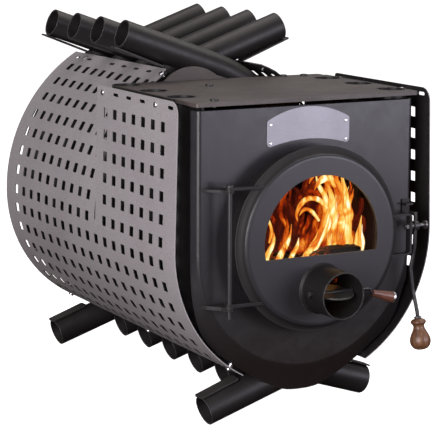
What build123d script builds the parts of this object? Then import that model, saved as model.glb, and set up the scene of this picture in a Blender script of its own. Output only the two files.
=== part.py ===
from build123d import *
import math
import os

os.makedirs("parts", exist_ok=True)

# ---------------------------------------------------------------- driving dimensions, millimetres
# Working frame: X to the viewer's right, Y to the back with the front face at 0, Z up.
TUBE_OD = 60.0            # convection tube
TUBE_WALL = 3.0
PITCH = 120.6             # centre to centre of tubes on one side
RIGHT_Y0 = 47.0           # first right-hand tube
LEFT_Y0 = RIGHT_Y0 + PITCH / 2.0
TUBES = 7
FRONT_TUBES = 3           # tubes per side that end in the cook plate
LOWER_SLOPE = 17.9        # degrees, straight lower run
LOWER_C = (30.0, 348.0)   # centre of the lower bend (left-hand tube), X and Z
LOWER_R = 250.0
UPPER_SLOPE = 19.64       # degrees, straight upper run of a rear tube
UPPER_C = (100.0, 362.0)
UPPER_R = 320.0
FOOT_X = 200.5            # axis end of a foot tube
SHORT_X = 95.0            # axis end of the other lower tubes
TOP_X = 203.0             # axis end of an upper run
PLATE_Z = 640.0           # top of the cook plate
PLATE_T = 8.0
PLATE_X = 248.0
PLATE_Y = (-10.0, 374.0)
WEB_T = 4.0
FACE_X = 238.0            # half width of the flat front face
FACE_CZ = 350.0           # centre of its round lower edge
SKIRT_X = 247.0
SKIRT_Y = 16.7
SHELL_T = 3.0
SHELL_TOP = 623.5
REAR_Y = 861.2
REAR_T = 4.0
FLUE_OD = 120.0
FLUE_T = 2.0
FLUE_Z = 585.0
FLUE_END = 950.0
DOOR_Z = 368.0
DOOR_R = 167.0            # flat of the door face
RIM_R = 182.0             # flange round the door
DOOR_Y = -57.0
WINDOW_R = 127.0
WINDOW_FLAT = 339.5
SPIGOT_R = 46.0
SPIGOT_Z = 274.4
SPIGOT_Y = -138.0
DAMPER_Y = -97.0
DISC_R = 41.0
HINGE = (-192.0, -38.0)
HINGE_R = 4.75
LATCH = (-36.0, 375.0)    # Y and Z of the latch bolt
SHIELD_T = 2.0
SHIELD_Y = (-0.3, 841.1)
SHIELD_C = (0.06, 357.28)  # centre of the shield's lower bend
SHIELD_LOW_R = 287.56     # inner radius about SHIELD_C
SHIELD_LEAN = 1.45        # degrees the front wall leans in towards the top
SHIELD_TOP = 642.35
SHIELD_UP_C = (68.8, 357.28)
SHIELD_UP_R = 356.3
SHIELD_LOW_END = 60.9     # degrees below the horizontal
SHIELD_UP_END = 59.2      # degrees above the horizontal
SHIELD_BOLT_Z = 629.53    # bolts and long slots along the top of the front wall
SHIELD_BOLT_UP = 56.46    # the same on the rear section, degrees above the horizontal
SHIELD_BOLT_LOW = 58.58   # lower bolts, degrees below the horizontal
SLIT = (356.8, 361.7)
SLIT_FOOT = 367.1
RELIEF_Y = 379.5          # front edge of the rear section beside the third tube
RELIEF_Z = (508.0, 640.9)
COL_0 = 58.89
COL_PITCH = 42.51
HOLE_W, HOLE_H = 16.6, 20.0
GAP = 0.15                # between welded pieces that stay separate solids

CENTRE_Y = (SPIGOT_Y + FLUE_END) / 2.0
_s, _c = math.sin(math.radians(LOWER_SLOPE)), math.cos(math.radians(LOWER_SLOPE))
_us, _uc = math.sin(math.radians(UPPER_SLOPE)), math.cos(math.radians(UPPER_SLOPE))
TAN_LOW = (LOWER_C[0] - LOWER_R * _s, LOWER_C[1] - LOWER_R * _c)
TAN_UP = (UPPER_C[0] - UPPER_R * _us, UPPER_C[1] + UPPER_R * _uc)


def low_z(x):
    """Height of the left-hand tube's axis on its lower straight run."""
    return TAN_LOW[1] - (x - TAN_LOW[0]) * _s / _c


def up_z(x):
    """Height of the left-hand tube's axis on its upper straight run."""
    return TAN_UP[1] + (x - TAN_UP[0]) * _us / _uc


FLOOR_Z = low_z(FOOT_X) - TUBE_OD / 2.0 * _c
SHIFT = Location((0, -CENTRE_Y, -FLOOR_Z))
NODES = {}


def keep(name, *shapes):
    """Collects the solids of one named piece."""
    solids = []
    for shape in shapes:
        solids.extend(shape.solids())
    NODES[name] = Compound(children=[s.moved(SHIFT) for s in solids]) if len(solids) > 1 else solids[0].moved(SHIFT)


def mirror_x(shape):
    return mirror(shape, about=Plane.YZ)


def cyl(p, axis, r, h, bore=0.0):
    """Cylinder from point p along axis, h long."""
    pl = Plane(origin=p, z_dir=axis)
    face = pl * Circle(r)
    solid = extrude(face, amount=h)
    if bore:
        cut = extrude(Plane(origin=Vector(*p) - Vector(*axis).normalized() * 1.0, z_dir=axis) * Circle(bore), amount=h + 2.0)
        solid = solid - cut
    return solid


def block(x0, x1, y0, y1, z0, z1):
    return Location(((x0 + x1) / 2, (y0 + y1) / 2, (z0 + z1) / 2)) * Box(x1 - x0, y1 - y0, z1 - z0)


def face_xz(points):
    return make_face(Polyline(*[(p[0], p[1]) for p in points], close=True))


def prism(face, y0, y1):
    """Extrudes a face drawn in X and Z from y0 to y1."""
    placed = Plane(origin=(0, y0, 0), x_dir=(1, 0, 0), z_dir=(0, -1, 0)) * face
    return extrude(placed, amount=y1 - y0, dir=(0, 1, 0))


def polar(c, r, deg):
    a = math.radians(deg)
    return (c[0] + r * math.cos(a), c[1] + r * math.sin(a))


def sector(c, ri, ro, a0, a1):
    m = (a0 + a1) / 2.0
    outer = ThreePointArc(polar(c, ro, a0), polar(c, ro, m), polar(c, ro, a1))
    inner = ThreePointArc(polar(c, ri, a1), polar(c, ri, m), polar(c, ri, a0))
    e1 = Line(polar(c, ro, a1), polar(c, ri, a1))
    e2 = Line(polar(c, ri, a0), polar(c, ro, a0))
    return make_face([outer, e1, inner, e2])


def ring(c, ri, ro, y0, y1):
    """Ring about a Y axis through c (X, Z)."""
    return cyl((c[0], y0, c[1]), (0, 1, 0), ro, y1 - y0, ri)


def lathe(points, c, y_axis=True):
    """Turns a closed (radius, Y) outline about the Y axis through c (X, Z)."""
    pts = [(c[0] + r, y) for r, y in points]
    outline = make_face(Polyline(*[(x, y, c[1]) for x, y in pts], close=True))
    return revolve(outline, Axis((c[0], 0, c[1]), (0, 1, 0)), 360)


# ---------------------------------------------------------------- convection tubes
def tube_path(x_low, rear, y):
    """Axis of a left-hand tube as a wire."""
    p0 = (x_low, y, low_z(x_low))
    p1 = (TAN_LOW[0], y, TAN_LOW[1])
    p3 = (LOWER_C[0] - LOWER_R, y, LOWER_C[1])
    a = math.radians((270 - LOWER_SLOPE + 180) / 2)
    pm = (LOWER_C[0] + LOWER_R * math.cos(a), y, LOWER_C[1] + LOWER_R * math.sin(a))
    edges = [Line(p0, p1), ThreePointArc(p1, pm, p3)]
    if not rear:
        edges.append(Line(p3, (p3[0], y, PLATE_Z)))
    else:
        p4 = (UPPER_C[0] - UPPER_R, y, UPPER_C[1])
        p5 = (TAN_UP[0], y, TAN_UP[1])
        b = math.radians((180 + 90 + UPPER_SLOPE) / 2)
        pn = (UPPER_C[0] + UPPER_R * math.cos(b), y, UPPER_C[1] + UPPER_R * math.sin(b))
        edges += [Line(p3, p4), ThreePointArc(p4, pn, p5), Line(p5, (TOP_X, y, up_z(TOP_X)))]
    return edges


def sweep_along(edges, section_size, bore_size=None, flat=None):
    """Sweeps a round or flat section along the edges, piece by piece, and joins them."""
    start = edges[0].position_at(0)
    tangent = edges[0].tangent_at(0)
    pl = Plane(origin=start, x_dir=(0, 1, 0), z_dir=tangent)
    if flat:
        section = pl * Rectangle(flat[0], flat[1])
    else:
        section = pl * (Circle(section_size) - Circle(bore_size))
    return sweep(section, path=Wire(edges))


R = TUBE_OD / 2.0
for i in range(TUBES):
    x_low = FOOT_X if i in (0, TUBES - 1) else SHORT_X
    rear = i >= FRONT_TUBES
    left = sweep_along(tube_path(x_low, rear, LEFT_Y0 + PITCH * i), R, R - TUBE_WALL)
    keep(f"left_tube_{i + 1}", left)
    right = mirror_x(sweep_along(tube_path(x_low, rear, RIGHT_Y0 + PITCH * i), R, R - TUBE_WALL))
    keep(f"right_tube_{i + 1}", right)


# ---------------------------------------------------------------- firebox webs between the tubes
def web_strip(rear, y0, y1):
    """Strip on the left-hand tube axis from beside the lower crossing to the top."""
    w, ym = y1 - y0, (y0 + y1) / 2.0
    x0 = -57.0
    a0 = math.degrees(math.acos((LOWER_C[0] - x0) / LOWER_R))  # below the horizontal, on the arc
    z0 = LOWER_C[1] - LOWER_R * math.sin(math.radians(a0))
    am = math.radians(180 + a0 / 2)
    edges = [
        ThreePointArc(
            (x0, ym, z0),
            (LOWER_C[0] + LOWER_R * math.cos(am), ym, LOWER_C[1] + LOWER_R * math.sin(am)),
            (LOWER_C[0] - LOWER_R, ym, LOWER_C[1]),
        )
    ]
    if rear:
        x1 = -55.0
        b1 = math.degrees(math.acos((UPPER_C[0] - x1) / UPPER_R))
        z1 = UPPER_C[1] + UPPER_R * math.sin(math.radians(b1))
        bm = math.radians(180 - b1 / 2)
        edges += [
            Line((LOWER_C[0] - LOWER_R, ym, LOWER_C[1]), (LOWER_C[0] - LOWER_R, ym, UPPER_C[1])),
            ThreePointArc(
                (LOWER_C[0] - LOWER_R, ym, UPPER_C[1]),
                (UPPER_C[0] + UPPER_R * math.cos(bm), ym, UPPER_C[1] + UPPER_R * math.sin(bm)),
                (x1, ym, z1),
            ),
        ]
    else:
        edges.append(Line((LOWER_C[0] - LOWER_R, ym, LOWER_C[1]), (LOWER_C[0] - LOWER_R, ym, PLATE_Z - PLATE_T - GAP)))
    return sweep_along(edges, 0, flat=(w, WEB_T))


# front shell outlines, used for the shell and for the strips that meet it
SKIRT = [(247, 340), (240, 245), (213, 176), (177, 142), (121, 102), (75, 76), (40, 61), (0, 57)]


def face_outline(inset, top):
    x, r = FACE_X - inset, FACE_X - inset
    return make_face(
        [
            Line((-x, top), (-x, FACE_CZ)),
            ThreePointArc((-x, FACE_CZ), (0, FACE_CZ - r), (x, FACE_CZ)),
            Line((x, FACE_CZ), (x, top)),
            Line((x, top), (-x, top)),
        ]
    )


def skirt_outline(inset, top):
    pts = []
    for x, z in SKIRT:
        dx, dz = x, z - 340.0
        n = math.hypot(dx, dz)
        pts.append((x - inset * dx / n, z - inset * dz / n))
    right = pts
    left = [(-x, z) for x, z in pts[:-1]]
    line = left + [pts[-1]] + list(reversed(right[:-1]))
    bottom = Spline(*line, tangents=[(0, -1), (0, 1)])
    return make_face(
        [
            Line((line[0][0], top), line[0]),
            bottom,
            Line(line[-1], (line[-1][0], top)),
            Line((line[-1][0], top), (line[0][0], top)),
        ]
    )


def dish(inset, y0, y1, top):
    front = Plane(origin=(0, y0, 0), x_dir=(1, 0, 0), z_dir=(0, -1, 0)) * face_outline(inset, top)
    back = Plane(origin=(0, y1, 0), x_dir=(1, 0, 0), z_dir=(0, -1, 0)) * skirt_outline(inset, top)
    return loft([front, back], ruled=True)


def rolled(body, y0, top, radius):
    """Rounds the front edge of a dish, except along the top."""
    edges = [
        e
        for e in body.edges()
        if abs(e.center().Y - y0) < 0.01 and e.center().Z < top - 1.0 and e.bounding_box().size.Y < 0.01
    ]
    return fillet(edges, radius)


outer_dish = rolled(dish(0.0, 0.0, SKIRT_Y, SHELL_TOP), 0.0, SHELL_TOP, 9.0)
inner_dish = rolled(dish(SHELL_T, SHELL_T, SKIRT_Y, SHELL_TOP - SHELL_T), SHELL_T, SHELL_TOP - SHELL_T, 6.0)
inner_back = Plane(origin=(0, SKIRT_Y, 0), x_dir=(1, 0, 0), z_dir=(0, -1, 0)) * skirt_outline(SHELL_T, SHELL_TOP - SHELL_T)
shell = outer_dish - inner_dish
COLLAR_RO, COLLAR_RI = 172.0, 160.0
shell = shell - cyl((0, -5, DOOR_Z), (0, 1, 0), COLLAR_RO + GAP, 12.0)
keep("front_shell", shell)

room = rolled(dish(SHELL_T + 0.4, SHELL_T + 0.4, SKIRT_Y + 0.4, SHELL_TOP - SHELL_T), SHELL_T + 0.4, SHELL_TOP - SHELL_T, 6.0)
LEFT_EDGE, RIGHT_EDGE = LEFT_Y0 - R, RIGHT_Y0 - R  # first tube's front tangent on each side


def front_strip(y_end):
    inside = web_strip(False, SHELL_T + 0.4, min(y_end, SKIRT_Y + 0.4)) & room
    behind = web_strip(False, SKIRT_Y + 0.4, y_end) if y_end > SKIRT_Y + 1 else None
    if behind is not None:
        lower = inside
        return (lower + behind) if lower.solids() else behind
    return inside


left_webs = [front_strip(LEFT_EDGE - GAP)]
right_webs = [front_strip(RIGHT_EDGE - GAP)]
for i in range(TUBES - 1):
    ya = LEFT_Y0 + PITCH * i + R + GAP
    yb = LEFT_Y0 + PITCH * (i + 1) - R - GAP
    left_webs.append(web_strip(i >= FRONT_TUBES - 1, ya, yb))
    ya = RIGHT_Y0 + PITCH * i + R + GAP
    yb = RIGHT_Y0 + PITCH * (i + 1) - R - GAP
    right_webs.append(web_strip(i >= FRONT_TUBES, ya, yb))
right_webs.append(web_strip(True, RIGHT_Y0 + PITCH * (TUBES - 1) + R + GAP, REAR_Y - GAP))
keep("firebox_webs_left", *left_webs)
keep("firebox_webs_right", *[mirror_x(w) for w in right_webs])

# ---------------------------------------------------------------- cook plate, closing sheet, rear plate
plate = block(-PLATE_X, PLATE_X, PLATE_Y[0], PLATE_Y[1], PLATE_Z - PLATE_T, PLATE_Z)
plate = fillet(plate.edges().filter_by(Axis.Z), 6.0)
plate = chamfer(plate.faces().sort_by(Axis.Z)[-1].edges(), 0.8)
holes = []
for i in range(FRONT_TUBES):
    holes.append(cyl((-220, LEFT_Y0 + PITCH * i, PLATE_Z - 20), (0, 0, 1), R + 0.4, 40))
    holes.append(cyl((220, RIGHT_Y0 + PITCH * i, PLATE_Z - 20), (0, 0, 1), R + 0.4, 40))
BOLT_XY = [(-82.0, 253.0), (-196.0, 18.0), (196.0, 346.0), (150.0, 353.0)]
for x, y in BOLT_XY:
    holes.append(cyl((x, y, PLATE_Z - 20), (0, 0, 1), 4.2, 40))
for h in holes:
    plate = plate - h
plate = max(plate.solids(), key=lambda q: q.volume)
keep("cook_plate", plate)
bolts = []
for x, y in BOLT_XY:
    head = cyl((x, y, PLATE_Z + 0.1), (0, 0, 1), 8.0, 4.0)
    head = fillet(head.faces().sort_by(Axis.Z)[-1].edges(), 2.2)
    bolts.append(head + cyl((x, y, PLATE_Z - 13.2), (0, 0, 1), 4.0, 13.4))
keep("plate_bolts", *bolts)

# sheet that closes the step between the cook plate and the rear vault
SHEET_Y = (374.3, 378.3)
arc_in = UPPER_R - 4.0


def vault_x(z):
    return UPPER_C[0] - math.sqrt(arc_in ** 2 - (z - UPPER_C[1]) ** 2)


z_low = UPPER_C[1] + math.sqrt(arc_in ** 2 - (203.0 + UPPER_C[0]) ** 2)
x_top = vault_x(628.0)
zm = (z_low + 628.0) / 2
outer_edges = [
    Line((-203, z_low), (-203, 636)),
    Line((-203, 636), (-132, 636)),
    Line((-132, 636), (-122, 641.5)),
    ThreePointArc((-122, 641.5), (-66, 667.5), (0, 648)),
    Line((0, 648), (22, 640.5)),
    Line((22, 640.5), (34, 636)),
    Line((34, 636), (203, 636)),
    Line((203, 636), (203, z_low)),
    ThreePointArc((203, z_low), (-vault_x(zm), zm), (-x_top, 628)),
    Line((-x_top, 628), (x_top, 628)),
    ThreePointArc((x_top, 628), (vault_x(zm), zm), (-203, z_low)),
]
sheet = prism(make_face(outer_edges), SHEET_Y[0], SHEET_Y[1])
keep("closing_sheet", sheet)

off = 28.0
lo_t = (LOWER_C[0] - (LOWER_R + off) * _s, LOWER_C[1] - (LOWER_R + off) * _c)
up_t = (UPPER_C[0] - (UPPER_R + off) * _us, UPPER_C[1] + (UPPER_R + off) * _uc)
lo_0 = lo_t[1] + lo_t[0] * _s / _c
up_0 = up_t[1] - up_t[0] * _us / _uc
xl = LOWER_C[0] - LOWER_R - off
la = 180 + (90 - LOWER_SLOPE) / 2
ua = 180 - (90 - UPPER_SLOPE) / 2 - UPPER_SLOPE / 2 * 0
half = [
    Line((0, lo_0), lo_t),
    ThreePointArc(lo_t, polar(LOWER_C, LOWER_R + off, la), (xl, LOWER_C[1])),
    Line((xl, LOWER_C[1]), (xl, UPPER_C[1])),
    ThreePointArc((xl, UPPER_C[1]), polar(UPPER_C, UPPER_R + off, ua), up_t),
    Line(up_t, (0, up_0)),
    Line((0, up_0), (0, lo_0)),
]
half_plate = prism(make_face(half), REAR_Y, REAR_Y + REAR_T)
rear_plate = half_plate + mirror_x(half_plate)
rear_plate = rear_plate - cyl((0, REAR_Y - 5, FLUE_Z), (0, 1, 0), FLUE_OD / 2 - FLUE_T, 20)
keep("rear_plate", rear_plate)
flue = ring((0, FLUE_Z), FLUE_OD / 2 - FLUE_T, FLUE_OD / 2, REAR_Y + REAR_T + GAP, FLUE_END)
keep("flue_outlet", flue)

# baffle plates in the top of the firebox
baffle = block(-150, 150, 300, REAR_Y - 0.4, 500, 504)
keep("baffle_plate", baffle)

# ---------------------------------------------------------------- door opening collar and door
collar = ring((0, DOOR_Z), COLLAR_RI, COLLAR_RO, -24.5, SHELL_T)
keep("door_collar", collar)

C = (0, DOOR_Z)
pan_profile = [
    (0, DOOR_Y), (160.5, DOOR_Y), (163.8, DOOR_Y + 0.5), (166.3, DOOR_Y + 1.8), (168.0, DOOR_Y + 3.9),
    (168.9, DOOR_Y + 6.4), (170.6, DOOR_Y + 10.2), (173.6, DOOR_Y + 13.6), (177.4, DOOR_Y + 15.6), (RIM_R - 0.8, DOOR_Y + 16.2),
    (RIM_R, DOOR_Y + 17.0), (RIM_R, DOOR_Y + 18.4), (RIM_R - 0.8, DOOR_Y + 19.2),
    (176.4, DOOR_Y + 18.8), (171.6, DOOR_Y + 16.2), (168.0, DOOR_Y + 12.0), (166.0, DOOR_Y + 7.2),
    (165.0, DOOR_Y + 4.8), (163.4, DOOR_Y + 3.4), (161.0, DOOR_Y + 3.0), (0, DOOR_Y + 3.0),
]
pan = lathe(pan_profile, C)
pan_outer = lathe([(0, DOOR_Y - 0.2)] + [(r + 0.12, y - 0.12) for r, y in pan_profile[1:11]] + [(RIM_R + 0.12, -20.0), (0, -20.0)], C)


def d_shape(radius, flat):
    """Disc about the door centre with its lower part cut off at height flat."""
    dz = flat - DOOR_Z
    x = math.sqrt(radius ** 2 - dz ** 2)
    return make_face([ThreePointArc((-x, flat), (0, DOOR_Z + radius), (x, flat)), Line((x, flat), (-x, flat))])


def d_plate(radius, flat, y0, y1):
    return prism(d_shape(radius, flat), y0, y1)


window_cut = d_plate(WINDOW_R, WINDOW_FLAT, DOOR_Y - 5, DOOR_Y + 8)
window_cut = fillet(window_cut.edges().filter_by(Axis.Y), 3.0)
pan = pan - window_cut
pan = pan - cyl((0, DOOR_Y - 5, SPIGOT_Z), (0, 1, 0), SPIGOT_R + GAP, 15)
keep("door_pan", pan)

gasket = d_plate(136.0, 332.0, DOOR_Y + 3.1, DOOR_Y + 5.0) - d_plate(127.5, 339.0, DOOR_Y, DOOR_Y + 8)
keep("glass_gasket", gasket)
glass = d_plate(134.5, 333.5, DOOR_Y + 5.1, DOOR_Y + 9.1)
keep("door_glass", glass)
frame = d_plate(141.0, 327.5, DOOR_Y + 9.2, DOOR_Y + 11.2) - d_plate(128.5, 338.0, DOOR_Y, DOOR_Y + 20)
clip_at = [(-147.5, 380.0), (147.5, 380.0), (-96.0, 479.5), (96.0, 479.5)]
clips, screws = [], []
for x, z in clip_at:
    n = math.hypot(x, z - DOOR_Z)
    ux, uz = x / n, (z - DOOR_Z) / n
    pl = Plane(origin=(ux * 143.8, DOOR_Y + 11.35, DOOR_Z + uz * 143.8), x_dir=(ux, 0, uz), z_dir=(0, 1, 0))
    clip = extrude(pl * Rectangle(15.0, 14.0), amount=2.0)
    at = (ux * 146.6, DOOR_Y, DOOR_Z + uz * 146.6)
    clip = clip - cyl((at[0], DOOR_Y + 5, at[2]), (0, 1, 0), 2.7, 20)
    clips.append(clip)
    stud = cyl((at[0], DOOR_Y + 3.1, at[2]), (0, 1, 0), 2.5, 13.0)
    nut = extrude(Plane(origin=(at[0], DOOR_Y + 13.45, at[2]), z_dir=(0, 1, 0)) * RegularPolygon(4.6, 6), amount=3.6)
    screws.append(stud + nut)
keep("glass_frame", frame)
keep("glass_clips", *clips)
keep("glass_screws", *screws)

# channel that holds the rope, and the rope itself
channel_pts = [(156.5, -38.9), (171.2, -38.9), (171.2, -36.9), (158.3, -36.9), (158.3, -31.0), (156.5, -31.0)]
channel = lathe(channel_pts, C)
web_pts = [(153.0, DOOR_Y + 3.1), (155.0, DOOR_Y + 3.1), (155.0, -38.9), (156.9, -38.9), (156.9, -36.9), (153.0, -36.9)]
inner_wall = lathe(web_pts, C)
keep("seal_channel", channel + inner_wall)
rope = Solid.make_torus(166.0, 5.8, plane=Plane(origin=(0, -31.0, DOOR_Z), z_dir=(0, 1, 0)))
keep("door_seal", rope)

# ---------------------------------------------------------------- air spigot and its damper
S = (0, SPIGOT_Z)
spigot = lathe(
    [
        (SPIGOT_R - 3.0, DOOR_Y + 3.0), (SPIGOT_R, DOOR_Y + 3.0), (SPIGOT_R, DOOR_Y - 0.1), (SPIGOT_R + 4.6, DOOR_Y - 0.1),
        (SPIGOT_R + 4.0, DOOR_Y - 1.6), (SPIGOT_R + 2.2, DOOR_Y - 2.8), (SPIGOT_R + 0.6, DOOR_Y - 4.6), (SPIGOT_R, DOOR_Y - 6.0),
        (SPIGOT_R, SPIGOT_Y + 1.0), (SPIGOT_R - 0.7, SPIGOT_Y), (SPIGOT_R - 2.3, SPIGOT_Y), (SPIGOT_R - 3.0, SPIGOT_Y + 1.0),
    ],
    S,
)
AXLE_R = 4.0
spigot = spigot - cyl((-60, DAMPER_Y, SPIGOT_Z), (1, 0, 0), AXLE_R + 0.06, 120)
keep("air_spigot", spigot)

TILT = 8.0
disc_pl = Plane(
    origin=(0, DAMPER_Y, SPIGOT_Z),
    x_dir=(1, 0, 0),
    z_dir=(0, -math.sin(math.radians(TILT)), math.cos(math.radians(TILT))),
)
disc = extrude(disc_pl * Circle(DISC_R), amount=1.3, both=True)
keep("damper_disc", disc)
disc_slot = extrude(disc_pl * Circle(DISC_R + 0.06), amount=1.32, both=True)
axle = cyl((-49.5, DAMPER_Y, SPIGOT_Z), (1, 0, 0), AXLE_R, 49.5 + 80.0)
HANDLE_A = Vector(90.5, DAMPER_Y, 264.0)
HANDLE_B = Vector(140.0, DAMPER_Y, 250.5)
h_dir = (HANDLE_B - HANDLE_A).normalized()
rod_pts = [
    (80.0, DAMPER_Y, SPIGOT_Z),
    (84.0, DAMPER_Y, SPIGOT_Z - 0.8),
]
rod_line = FilletPolyline(
    (79.0, DAMPER_Y, SPIGOT_Z),
    (84.0, DAMPER_Y, SPIGOT_Z - 1.2),
    tuple(HANDLE_A + h_dir * -2.0),
    tuple(HANDLE_A + h_dir * 30.0),
    radius=3.2,
)
rod_section = Plane(origin=rod_line.position_at(0), z_dir=rod_line.tangent_at(0)) * Circle(3.0)
rod = sweep(rod_section, path=rod_line)
keep("damper_axle", (axle + rod) - disc_slot)


def turned(a, b, profile, bore=0.0, bore_to=1e9):
    """Turned piece along the line a to b: profile is (distance, radius) pairs."""
    d = (b - a).normalized()
    side = Vector(0, 1, 0) if abs(d.Y) < 0.9 else Vector(1, 0, 0)
    side = (side - d * side.dot(d)).normalized()
    pts = [a + d * profile[0][0]] + [a + d * t + side * r for t, r in profile] + [a + d * profile[-1][0]]
    outline = make_face(Polyline(*[tuple(p) for p in pts], close=True))
    body = revolve(outline, Axis(tuple(a), tuple(d)), 360)
    if bore:
        body = body - cyl(tuple(a - d * 5.0), tuple(d), bore, 5.0 + min(bore_to, 1000.0))
    return body


def smooth_profile(keys, n):
    """Cubic interpolation of (distance, radius) keys to n points."""
    out = []
    ts = [k[0] for k in keys]
    rs = [k[1] for k in keys]
    m = []
    for i in range(len(keys)):
        if i == 0:
            m.append((rs[1] - rs[0]) / (ts[1] - ts[0]))
        elif i == len(keys) - 1:
            m.append((rs[-1] - rs[-2]) / (ts[-1] - ts[-2]))
        else:
            m.append((rs[i + 1] - rs[i - 1]) / (ts[i + 1] - ts[i - 1]))
    for j in range(n):
        t = ts[0] + (ts[-1] - ts[0]) * j / (n - 1)
        i = max(k for k in range(len(ts) - 1) if ts[k] <= t + 1e-9)
        h = ts[i + 1] - ts[i]
        u = (t - ts[i]) / h
        r = (
            (2 * u ** 3 - 3 * u ** 2 + 1) * rs[i] + (u ** 3 - 2 * u ** 2 + u) * h * m[i]
            + (-2 * u ** 3 + 3 * u ** 2) * rs[i + 1] + (u ** 3 - u ** 2) * h * m[i + 1]
        )
        out.append((t, max(r, 0.4)))
    return out


def turned_smooth(a, b, keys, bore=0.0, bore_to=1e9):
    """Turned piece whose outline is one spline through the keys."""
    d = (b - a).normalized()
    side = Vector(0, 1, 0) if abs(d.Y) < 0.9 else Vector(1, 0, 0)
    side = (side - d * side.dot(d)).normalized()
    pts = [tuple(a + d * t + side * r) for t, r in keys]
    first, last = tuple(a + d * keys[0][0]), tuple(a + d * keys[-1][0])
    outline = make_face([Line(first, pts[0]), Spline(*pts), Line(pts[-1], last), Line(last, first)])
    body = revolve(outline, Axis(tuple(a), tuple(d)), 360)
    if bore:
        body = body - cyl(tuple(a - d * 5.0), tuple(d), bore, 5.0 + bore_to)
    return body


handle = turned_smooth(
    HANDLE_A, HANDLE_B,
    [(0.0, 5.2), (1.2, 6.0), (4.0, 6.6), (10.0, 7.3), (18.0, 8.2), (26.0, 9.3), (34.0, 10.3), (41.0, 10.8), (45.5, 10.9)],
    bore=3.05, bore_to=30.3,
)
keep("damper_handle", handle)
cap = turned(HANDLE_A, HANDLE_B, [(45.7, 11.1), (49.0, 11.3), (50.4, 10.9), (51.0, 9.9)])
keep("damper_handle_cap", cap)
nut = cyl((-53.8, DAMPER_Y, SPIGOT_Z), (1, 0, 0), 5.6, 4.2)
keep("damper_axle_nut", fillet(nut.faces().sort_by(Axis.X)[0].edges(), 1.2))

# ---------------------------------------------------------------- hinge
hx, hy = HINGE
LUG_TOP_STOVE, LUG_TOP_DOOR = (472.0, 477.0), (477.4, 482.4)
LUG_LOW_STOVE, LUG_LOW_DOOR = (246.0, 253.0), (253.4, 259.4)


def stove_lug(z0, z1):
    base = make_face(Polyline((hx - 40.0, -GAP), (hx + 6.0, -GAP), (hx + 8.6, hy + 1.0), (hx - 6.4, hy - 5.8), (hx - 14.0, hy + 8.0), (hx - 34.0, -10.0), close=True))
    plate_ = extrude(Plane(origin=(0, 0, z0)) * base, amount=z1 - z0)
    eye = cyl((hx, hy, z0), (0, 0, 1), 9.0, z1 - z0)
    return (plate_ + eye) - cyl((hx, hy, z0 - 5), (0, 0, 1), HINGE_R + 0.03, z1 - z0 + 10)


def door_lug(z0, z1, reach):
    strip = make_face(Polyline((hx, hy - 9.0), (reach, hy - 14.0), (reach, hy + 2.0), (hx, hy + 6.5), close=True))
    plate_ = extrude(Plane(origin=(0, 0, z0)) * strip, amount=z1 - z0)
    eye = cyl((hx, hy, z0), (0, 0, 1), 9.0, z1 - z0)
    lug = (plate_ + eye) - cyl((hx, hy, z0 - 5), (0, 0, 1), HINGE_R + 0.05, z1 - z0 + 10)
    cut = lug - pan_outer
    return max(cut.solids(), key=lambda s: s.volume)


keep("hinge_lugs_stove", stove_lug(*LUG_TOP_STOVE), stove_lug(*LUG_LOW_STOVE))
keep("hinge_lugs_door", door_lug(*LUG_TOP_DOOR, -112.0), door_lug(*LUG_LOW_DOOR, -108.0))
pin = cyl((hx, hy, 229.0), (0, 0, 1), HINGE_R, 257.0)
pin = chamfer(pin.faces().sort_by(Axis.Z)[0].edges(), 1.0)
pin = pin + fillet(cyl((hx, hy, 482.9), (0, 0, 1), 7.5, 4.2).faces().sort_by(Axis.Z)[-1].edges(), 1.6)
keep("hinge_pin", pin)

# ---------------------------------------------------------------- latch
ly, lz = LATCH
st = 4.0
outer = make_face(Polyline((150, 402), (208, 402), (213, 400.6), (216, 396), (216, 324), (213, 319.4), (208, 318), (150, 318), close=True))
inner = make_face(Polyline((140, 398), (207, 398), (210.4, 397), (212, 394.5), (212, 325.5), (210.4, 323), (207, 322), (140, 322), close=True))
staple = prism(outer, -45.0, -29.0) - prism(inner, -50.0, -20.0)
staple = staple - cyl((200, ly, lz), (1, 0, 0), 4.05, 30)
staple = staple - pan_outer
staple_solids = [s for s in staple.solids() if s.bounding_box().max.X > 190]
keep("latch_bracket", *staple_solids)
bolt = cyl((203.0, ly, lz), (1, 0, 0), 4.0, 49.0)
head = cyl((250.5, ly, lz), (1, 0, 0), 8.5, 6.0)
head = fillet(head.faces().sort_by(Axis.X)[-1].edges(), 3.6)
nut1 = extrude(Plane(origin=(205.2, ly, lz), z_dir=(1, 0, 0)) * RegularPolygon(7.2, 6), amount=6.5)
nut1 = nut1 - cyl((190, ly, lz), (1, 0, 0), 4.03, 60)
nut2 = extrude(Plane(origin=(216.3, ly, lz), z_dir=(1, 0, 0)) * Circle(7.0), amount=5.4)
nut2 = nut2 - cyl((190, ly, lz), (1, 0, 0), 4.03, 60)
keep("latch_bolt", bolt + head, nut1, nut2)

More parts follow.
